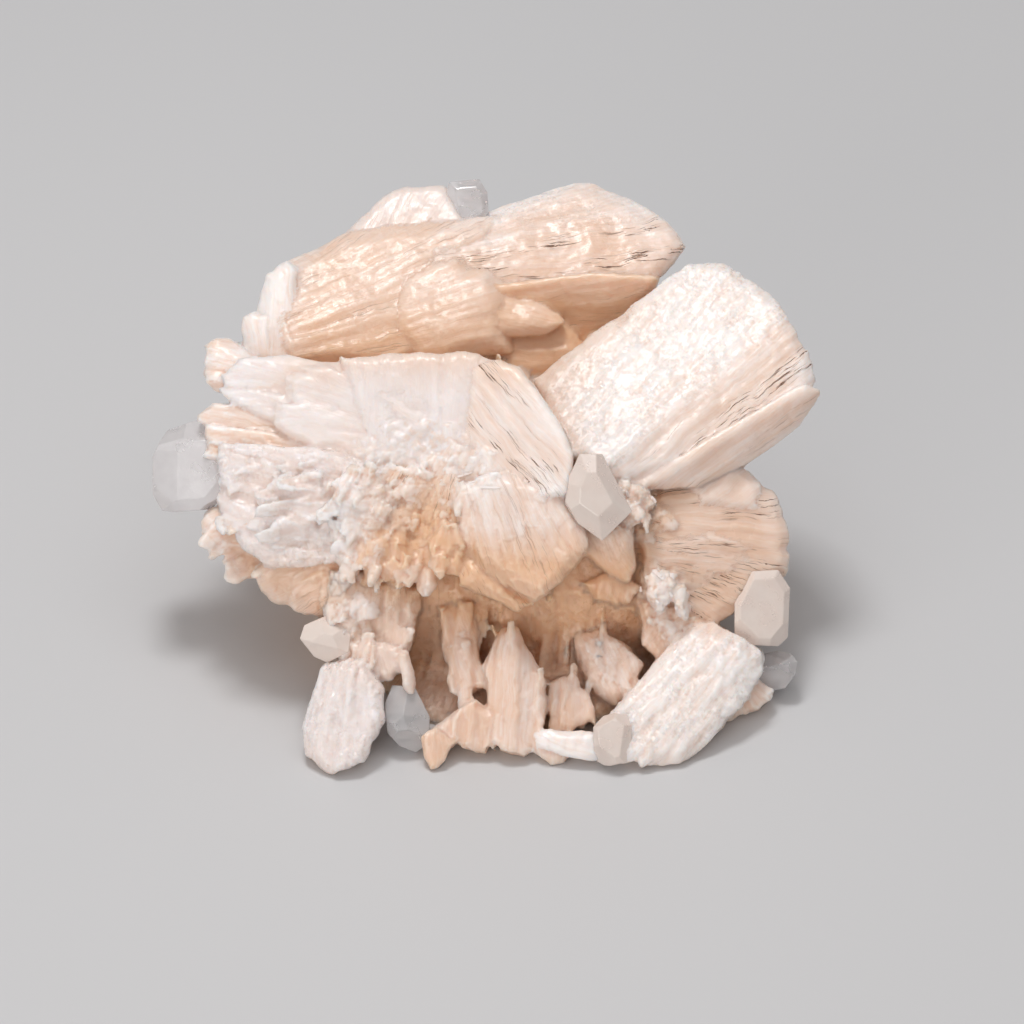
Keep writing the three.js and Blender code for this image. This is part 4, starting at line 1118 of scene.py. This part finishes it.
def density_field(shapes):
    """How full of crystal the space is, on a coarse grid that tells recesses from open tips, for painted
    shade.
    """
    points = np.concatenate([p for shape in shapes for p in shape.points])
    low, high = points.min(0) - FIELD_MARGIN, points.max(0) + FIELD_MARGIN
    cell = FIELD_CELL
    size = np.ceil((high - low) / cell).astype(int)
    x, y, z = np.meshgrid(*[low[k] + (np.arange(size[k]) + 0.5) * cell for k in range(3)], indexing="ij")
    across, up, out = (part.reshape(x.shape) for part in view_of(np.stack([x, y, z], -1).reshape(-1, 3)))
    full = (((x - SHIFT[0]) / 30) ** 2 + ((y - SHIFT[1] - 5) / 24) ** 2 < 1) & (z < 26)
    for specs in STILBITE.values():
        for spec in specs:
            normals, offsets = edges_of(convex(spec["outline"]))
            inside = np.ones(x.shape, bool)
            for normal, offset in zip(normals, offsets):
                inside &= normal[0] * across + normal[1] * up > offset
            stand = stand_of(spec, across, up)
            full |= inside & (out < stand) & (out > stand - spec["deep"])
    full = full.astype(float)
    full[z < 0] = 1
    for axis in range(3):
        for _ in range(2):
            full = sum(np.roll(full, step, axis) for step in (-2, -1, 0, 1, 2)) / 5
    return full, low, cell


def sample(field, points):
    full, low, cell = field
    spot = (points - low) / cell - 0.5
    base = np.clip(np.floor(spot).astype(int), 0, np.array(full.shape) - 2)
    part = np.clip(spot - base, 0, 1)
    total = np.zeros(len(points))
    for dx in (0, 1):
        for dy in (0, 1):
            for dz in (0, 1):
                weight = (abs(1 - dx - part[:, 0]) * abs(1 - dy - part[:, 1]) * abs(1 - dz - part[:, 2]))
                total += weight * full[base[:, 0] + dx, base[:, 1] + dy, base[:, 2] + dz]
    return total


def piece_from(shape, name, material):
    """A mesh object, in metres, with its surface values as attributes."""
    points = np.concatenate(shape.points)
    points[:, 2] = np.maximum(points[:, 2], 0.0)
    faces = np.concatenate(shape.faces)
    mesh = plain_mesh(name, points, faces)
    grain = mesh.attributes.new("grain", "FLOAT_VECTOR", "POINT")
    grain.data.foreach_set("vector", np.concatenate(shape.grain).astype(np.float32).ravel())
    finish = mesh.attributes.new("finish", "FLOAT_COLOR", "POINT")
    finish.data.foreach_set("color", np.concatenate(shape.finish).astype(np.float32).ravel())
    cool = mesh.attributes.new("cool", "FLOAT", "POINT")
    cool.data.foreach_set("value", np.concatenate(shape.cool).astype(np.float32))
    mesh.polygons.foreach_set("use_smooth", np.ones(len(faces), bool))
    if shape.normals is None:
        mesh.set_sharp_from_angle(angle=SHARP_ANGLE)
    else:
        mesh.normals_split_custom_set_from_vertices(shape.normals.tolist())
    mesh.materials.append(material)
    piece = bpy.data.objects.new(name, mesh)
    bpy.context.collection.objects.link(piece)
    return piece


def clear_crystal(name, spec, material, facets, seed):
    """A flat-faced crystal: the solid's own corners, facets on some of them, and a cut at the ground."""
    rng = np.random.default_rng(seed)
    corners = crystal_corners(spec) + SHIFT
    middle = corners.mean(0)
    crystal = bmesh.new()
    for corner in corners:
        crystal.verts.new(corner * MM)
    hull = bmesh.ops.convex_hull(crystal, input=crystal.verts[:])
    spare = {*hull["geom_interior"], *hull["geom_unused"]}
    spare = [part for part in spare if isinstance(part, bmesh.types.BMVert)]
    bmesh.ops.delete(crystal, geom=spare, context="VERTS")
    planes = []
    for corner in corners[rng.choice(len(corners), facets, replace=False)]:
        way = (corner - middle) / np.linalg.norm(corner - middle) + rng.uniform(-0.3, 0.3, 3)
        way /= np.linalg.norm(way)
        planes.append((corner - way * rng.uniform(0.3, 1.0), way))
    if corners[:, 2].min() < 0:
        planes.append((np.zeros(3), np.array([0, 0, -1.0])))
    for start, way in planes:
        whole = crystal.verts[:] + crystal.edges[:] + crystal.faces[:]
        cut = bmesh.ops.bisect_plane(crystal, geom=whole, plane_co=start * MM, plane_no=way,
                                     clear_outer=True)
        rim = [part for part in cut["geom_cut"] if isinstance(part, bmesh.types.BMEdge)]
        bmesh.ops.edgenet_fill(crystal, edges=rim)
    bmesh.ops.dissolve_limit(crystal, angle_limit=math.radians(4), verts=crystal.verts[:],
                             edges=crystal.edges[:])
    bmesh.ops.bevel(crystal, geom=crystal.edges[:], offset=EDGE_WIDTH * MM, segments=1, affect="EDGES")
    bmesh.ops.recalc_face_normals(crystal, faces=crystal.faces[:])
    mesh = bpy.data.meshes.new(name)
    crystal.to_mesh(mesh)
    crystal.free()
    mesh.materials.append(material)
    piece = bpy.data.objects.new(name, mesh)
    bpy.context.collection.objects.link(piece)
    return piece


def node(tree, kind, values=None, **settings):
    made = tree.nodes.new(kind)
    for name, value in settings.items():
        setattr(made, name, value)
    for socket, value in (values or {}).items():
        if isinstance(value, bpy.types.NodeSocket):
            tree.links.new(value, made.inputs[socket])
        else:
            made.inputs[socket].default_value = value
    return made


def maths(tree, operation, *terms):
    return node(tree, "ShaderNodeMath", dict(enumerate(terms)), operation=operation).outputs[0]


def blend(tree, share, first, second):
    made = node(tree, "ShaderNodeMix", {0: share, 6: first, 7: second}, data_type="RGBA")
    return made.outputs[2]


def colour(rgb):
    return (*rgb, 1.0)


def ranged(tree, value, low, high, to_low=0.0, to_high=1.0):
    return node(tree, "ShaderNodeMapRange", {"Value": value, "From Min": low, "From Max": high,
                                             "To Min": to_low, "To Max": to_high}).outputs[0]


def clouds(tree, vector, scale, detail):
    values = {"Vector": vector, "Scale": scale, "Detail": detail}
    return node(tree, "ShaderNodeTexNoise", values).outputs["Fac"]


def stretched(tree, vector, along, beside, detail=3.0):
    """Noise drawn out along the grain."""
    scaled = node(tree, "ShaderNodeVectorMath", {0: vector, 1: (along, beside, 1.0)},
                  operation="MULTIPLY")
    return node(tree, "ShaderNodeTexNoise", {"Vector": scaled.outputs[0], "Scale": 1.0, "Detail": detail,
                                             "Roughness": 0.6}).outputs["Fac"]


def group(name, inputs, outputs):
    """A shader group with named sockets, and its two end nodes."""
    tree = bpy.data.node_groups.new(name, "ShaderNodeTree")
    for label, kind, value in inputs:
        socket = tree.interface.new_socket(label, in_out="INPUT", socket_type=kind)
        if value is not None:
            socket.default_value = value
    for label, kind in outputs:
        tree.interface.new_socket(label, in_out="OUTPUT", socket_type=kind)
    return tree, tree.nodes.new("NodeGroupInput"), tree.nodes.new("NodeGroupOutput")


def fibre_group():
    """Fine lines along the grain, dark dashes in the cleavage cracks, and the height of both."""
    tree, given, result = group(
        "Fibrous grain", [("Grain", "NodeSocketVector", None), ("Cracks", "NodeSocketFloat", 0.0)],
        [("Streak", "NodeSocketFloat"), ("Crack", "NodeSocketFloat"), ("Height", "NodeSocketFloat")])
    grain = given.outputs["Grain"]
    broad = stretched(tree, grain, 0.06, 0.8)
    fine = stretched(tree, grain, 0.18, 3.4)
    dashes = stretched(tree, grain, 0.28, 6.0, 2.0)
    zones = stretched(tree, grain, 0.05, 0.42, 1.0)
    crack = maths(tree, "MULTIPLY", ranged(tree, dashes, 0.56, 0.66), ranged(tree, zones, 0.49, 0.58))
    crack = maths(tree, "MULTIPLY", crack, given.outputs["Cracks"])
    streak = maths(tree, "ADD", maths(tree, "MULTIPLY", broad, 0.5), maths(tree, "MULTIPLY", fine, 0.5))
    height = maths(tree, "SUBTRACT", streak, crack)
    tree.links.new(streak, result.inputs["Streak"])
    tree.links.new(crack, result.inputs["Crack"])
    tree.links.new(height, result.inputs["Height"])
    return tree


def druse_group():
    """Tiny facets, each leaning its own way, that catch the light one by one."""
    tree, given, result = group(
        "Druse", [("Amount", "NodeSocketFloat", 0.0), ("Facets a millimetre", "NodeSocketFloat", 2.6),
                  ("Normal", "NodeSocketVector", None)],
        [("Glint", "NodeSocketFloat"), ("Normal", "NodeSocketVector")])
    where = node(tree, "ShaderNodeTexCoord").outputs["Object"]
    scale = maths(tree, "MULTIPLY", given.outputs["Facets a millimetre"], 1000.0)
    cells = node(tree, "ShaderNodeTexVoronoi", {"Vector": where, "Scale": scale}, feature="F1")
    patches = clouds(tree, where, 260.0, 3.0)
    amount = maths(tree, "MULTIPLY", given.outputs["Amount"], ranged(tree, patches, 0.35, 0.6))
    lean = node(tree, "ShaderNodeVectorMath", {0: cells.outputs["Color"], 1: (0.5, 0.5, 0.5)},
                operation="SUBTRACT")
    leant = node(tree, "ShaderNodeVectorMath", {0: lean.outputs[0]}, operation="SCALE")
    tree.links.new(maths(tree, "MULTIPLY", amount, 0.9), leant.inputs["Scale"])
    total = node(tree, "ShaderNodeVectorMath", {0: given.outputs["Normal"], 1: leant.outputs[0]},
                 operation="ADD")
    unit = node(tree, "ShaderNodeVectorMath", {0: total.outputs[0]}, operation="NORMALIZE")
    bright = node(tree, "ShaderNodeSeparateColor", {"Color": cells.outputs["Color"]}).outputs[0]
    glint = maths(tree, "MULTIPLY", ranged(tree, bright, 0.80, 0.86), amount)
    tree.links.new(glint, result.inputs["Glint"])
    tree.links.new(unit.outputs[0], result.inputs["Normal"])
    return tree


def empty_material(name):
    material = bpy.data.materials.new(name)
    material.use_nodes = True
    material.node_tree.nodes.clear()
    return material, material.node_tree


def stilbite_material(name, fibres, druse, scatter):
    """Pearly stilbite: peach body, honey tan with painted shade in the recesses, white edges, and lines
    along its grain.
    """
    material, tree = empty_material(name)
    grain = node(tree, "ShaderNodeAttribute", attribute_name="grain").outputs["Vector"]
    values = node(tree, "ShaderNodeAttribute", attribute_name="finish")
    parts = node(tree, "ShaderNodeSeparateColor", {"Color": values.outputs["Color"]})
    whiteness, tan_and_painted_shade, cracks = parts.outputs[0], parts.outputs[1], parts.outputs[2]
    lines = node(tree, "ShaderNodeGroup", node_tree=fibres)
    tree.links.new(grain, lines.inputs["Grain"])
    tree.links.new(cracks, lines.inputs["Cracks"])

    where = node(tree, "ShaderNodeTexCoord").outputs["Object"]
    cloud = clouds(tree, where, 130.0, 5.0)
    swing = maths(tree, "ADD", ranged(tree, lines.outputs["Streak"], 0.35, 0.65, -0.28, 0.28),
                  ranged(tree, cloud, 0.3, 0.7, -0.25, 0.25))
    pale = node(tree, "ShaderNodeMath", {0: whiteness, 1: swing}, operation="ADD",
                use_clamp=True).outputs[0]
    body = blend(tree, pale, colour(PEACH), colour(WHITE))
    cool = node(tree, "ShaderNodeAttribute", attribute_name="cool").outputs["Fac"]
    body = blend(tree, cool, body, colour(LILAC))
    # Painted shade: honey is mixed in by the tan value, which also darkens the recesses
    body = blend(tree, tan_and_painted_shade, body, colour(HONEY_AND_SHADE))
    body = blend(tree, lines.outputs["Crack"], body, colour(STAIN))

    fine_bump = node(tree, "ShaderNodeBump", {"Strength": 0.5, "Distance": 0.00025,
                                              "Height": lines.outputs["Height"]})
    grit = clouds(tree, where, 1400.0, 3.0)
    grit_bump = node(tree, "ShaderNodeBump", {"Strength": 0.35, "Distance": 0.00015, "Height": grit,
                                              "Normal": fine_bump.outputs[0]})
    facets = node(tree, "ShaderNodeGroup", node_tree=druse)
    tree.links.new(values.outputs["Alpha"], facets.inputs["Amount"])
    tree.links.new(grit_bump.outputs[0], facets.inputs["Normal"])
    rough = maths(tree, "SUBTRACT", ranged(tree, cloud, 0.3, 0.7, 0.26, 0.42),
                  maths(tree, "MULTIPLY", facets.outputs["Glint"], 0.22))
    surface = node(tree, "ShaderNodeBsdfPrincipled", {
        "Base Color": body, "Roughness": rough, "Normal": facets.outputs["Normal"], "IOR": 1.5,
        "Subsurface Weight": 0.85 if scatter else 0.0, "Subsurface Radius": (1.0, 0.84, 0.72),
        "Subsurface Scale": scatter, "Coat Weight": 0.15, "Coat Roughness": 0.13})
    output = node(tree, "ShaderNodeOutputMaterial")
    tree.links.new(surface.outputs[0], output.inputs["Surface"])
    return material


def clear_material(name, tint, veil, clearness, rough):
    """Apophyllite: glassy, clouded by fine veils, faintly tinted in depth, with frosted patches."""
    material, tree = empty_material(name)
    where = node(tree, "ShaderNodeTexCoord").outputs["Object"]
    cloud = clouds(tree, where, 320.0, 4.0)
    lines = stretched(tree, where, 2600.0, 2600.0)
    body = blend(tree, ranged(tree, cloud, 0.40, 0.62), colour(tint), colour(veil))
    frost = ranged(tree, cloud, 0.46, 0.62, rough, rough + 0.25)
    height = maths(tree, "ADD", cloud, maths(tree, "MULTIPLY", lines, 0.3))
    bump = node(tree, "ShaderNodeBump", {"Strength": 0.3, "Distance": 0.0002, "Height": height})
    surface = node(tree, "ShaderNodeBsdfPrincipled", {
        "Base Color": body, "Roughness": frost, "IOR": GLASS_IOR, "Transmission Weight": clearness,
        "Normal": bump.outputs[0]})
    depth = node(tree, "ShaderNodeVolumeAbsorption", {"Color": colour(tint), "Density": GLASS_DENSITY})
    output = node(tree, "ShaderNodeOutputMaterial")
    tree.links.new(surface.outputs[0], output.inputs["Surface"])
    tree.links.new(depth.outputs[0], output.inputs["Volume"])
    return material


def build_camera():
    """A long lens from the photograph's angle, with the specimen a little left of and above the middle."""
    middle = Vector(SHIFT) * MM + Vector((0, 0, MIDDLE_HEIGHT * MM))
    data = bpy.data.cameras.new("camera")
    data.lens = LENS
    data.sensor_width = SENSOR_WIDTH
    data.clip_end = 10
    camera = bpy.data.objects.new("camera", data)
    bpy.context.collection.objects.link(camera)
    sight, rise = Vector(SIGHT), Vector(RISE)
    aside = Vector((AIM_RIGHT * MM, 0, 0)) + rise * (AIM_UP * MM)
    camera.location = middle + sight * SIGHT_DISTANCE * MM + aside
    camera.rotation_mode = "QUATERNION"
    camera.rotation_quaternion = (-sight).to_track_quat("-Z", "Y")
    bpy.context.scene.camera = camera


def build_light(name, place, size, power, tint=(1, 1, 1)):
    data = bpy.data.lights.new(name, "AREA")
    data.shape = "RECTANGLE"
    data.size, data.size_y = size
    data.energy = power
    data.color = tint
    lamp = bpy.data.objects.new(name, data)
    bpy.context.collection.objects.link(lamp)
    lamp.location = place
    lamp.rotation_mode = "QUATERNION"
    lamp.rotation_quaternion = (Vector((0, 0, 0.02)) - Vector(place)).to_track_quat("-Z", "Y")


def build_stage():
    """A plain pale floor."""
    mesh = bpy.data.meshes.new("floor")
    side = FLOOR_HALF_SIDE
    corners = [(-side, -side, 0), (side, -side, 0), (side, side, 0), (-side, side, 0)]
    mesh.from_pydata(corners, [], [(0, 1, 2, 3)])
    material = bpy.data.materials.new("plain floor")
    material.use_nodes = True
    shader = material.node_tree.nodes["Principled BSDF"]
    shader.inputs["Base Color"].default_value = FLOOR_GREY
    shader.inputs["Roughness"].default_value = 0.6
    mesh.materials.append(material)
    floor = bpy.data.objects.new("floor", mesh)
    bpy.context.collection.objects.link(floor)


def build_specimen():
    spacing = FINE
    shapes = {}
    seed = FRONT_SEED
    for name, specs in STILBITE.items():
        shapes[name] = Shape()
        for spec in specs:
            grow(shapes[name], spec, seed, sight_place, spacing)
            seed += SEED_STEP
    shapes["back_sheaves"] = Shape()
    for index, row in enumerate(HIDDEN_SHEAVES):
        spec, place = sheaf(*row)
        grow(shapes["back_sheaves"], spec, SHEAF_SEED + index * SHEAF_SEED_STEP, place, COARSE)
    shapes["broken_base"] = Shape()
    rock(shapes["broken_base"], MIDDLE, MIDDLE_SEED)
    rock(shapes["broken_base"], LEDGE, LEDGE_SEED)

    tree, ends = tree_of(shapes.values())
    rng = np.random.default_rng(SMALL_SEED)
    front, sides = Shape(), Shape()
    for row in FLAKES:
        scatter_patch(list(shapes.values()), tree, ends, row, rng)
    for row in PATCHES:
        scatter_patch([front] * len(shapes), tree, ends, row, rng)
    scatter_around(sides, tree, LOOSE_SIDE_CRYSTALS, LOOSE_SIDE_LENGTHS, rng)
    scatter_around(shapes["back_sheaves"], tree, GROWN_SIDE_CRYSTALS, GROWN_SIDE_LENGTHS, rng)

    field = density_field(list(shapes.values()))
    skin_spacing = SKIN_SPACING
    shapes = dict(zip(list(shapes), fuse(list(shapes.values()), skin_spacing)))
    shapes["small_crystals"], shapes["side_crystals"] = front, sides
    # Painted shade: the fuller of crystal the space around a point, the more honey tan it gets
    for shape in shapes.values():
        for points, finish in zip(shape.points, shape.finish):
            depth = np.clip((sample(field, points) - RECESS_START) / RECESS_SPAN, 0, 1)
            finish[:, 1] = np.clip(finish[:, 1] + depth ** 1.2 * RECESS_SHADE_SHARE, 0, MOST_TAN_AND_SHADE)

    fibres, druse = fibre_group(), druse_group()
    pearly = stilbite_material("pearly stilbite", fibres, druse, scatter=0.0016)
    grainy = stilbite_material("drusy stilbite", fibres, druse, scatter=0.0)
    kinds = {"small_crystals": grainy, "side_crystals": grainy}
    for name, shape in shapes.items():
        piece = piece_from(shape, name, kinds.get(name, pearly))
        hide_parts("stilbite_cluster")
        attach(piece, "root")

    clear = clear_material("clear apophyllite", tint=(0.97, 0.95, 0.96), veil=(0.90, 0.88, 0.89),
                           clearness=0.58, rough=0.03)
    milky = clear_material("milky apophyllite", tint=(0.98, 0.87, 0.80), veil=(0.95, 0.82, 0.75),
                           clearness=0.27, rough=0.06)
    milky_ones = {"apophyllite_pyramid", "apophyllite_front_right", "apophyllite_lower_left",
                  "apophyllite_right_prism"}
    for name, spec in APOPHYLLITE.items():
        facets = 3 if name == "apophyllite_pyramid" else 9
        material = milky if name in milky_ones else clear
        piece = clear_crystal(name + "_crystal", spec, material, facets, seed)
        seed += SEED_STEP
        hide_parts(name)
        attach(piece, "root")


def build_world():
    world = bpy.data.worlds.new("studio")
    world.use_nodes = True
    sky = world.node_tree.nodes["Background"]
    sky.inputs["Color"].default_value = SKY
    sky.inputs["Strength"].default_value = SKY_STRENGTH
    bpy.context.scene.world = world


build_camera()
build_specimen()
build_stage()
build_world()
build_light("overhead key", place=(-0.06, 0.07, 0.60), size=(0.16, 0.12), power=1.45)
build_light("overhead softbox", place=(0.05, -0.10, 0.60), size=(0.5, 0.5), power=0.65,
            tint=(1.0, 0.97, 0.96))
build_light("front fill", place=(-0.30, -0.60, 0.16), size=(0.5, 0.35), power=1.6,
            tint=(1.0, 0.97, 0.94))
bpy.context.scene.view_settings.view_transform = "Standard"
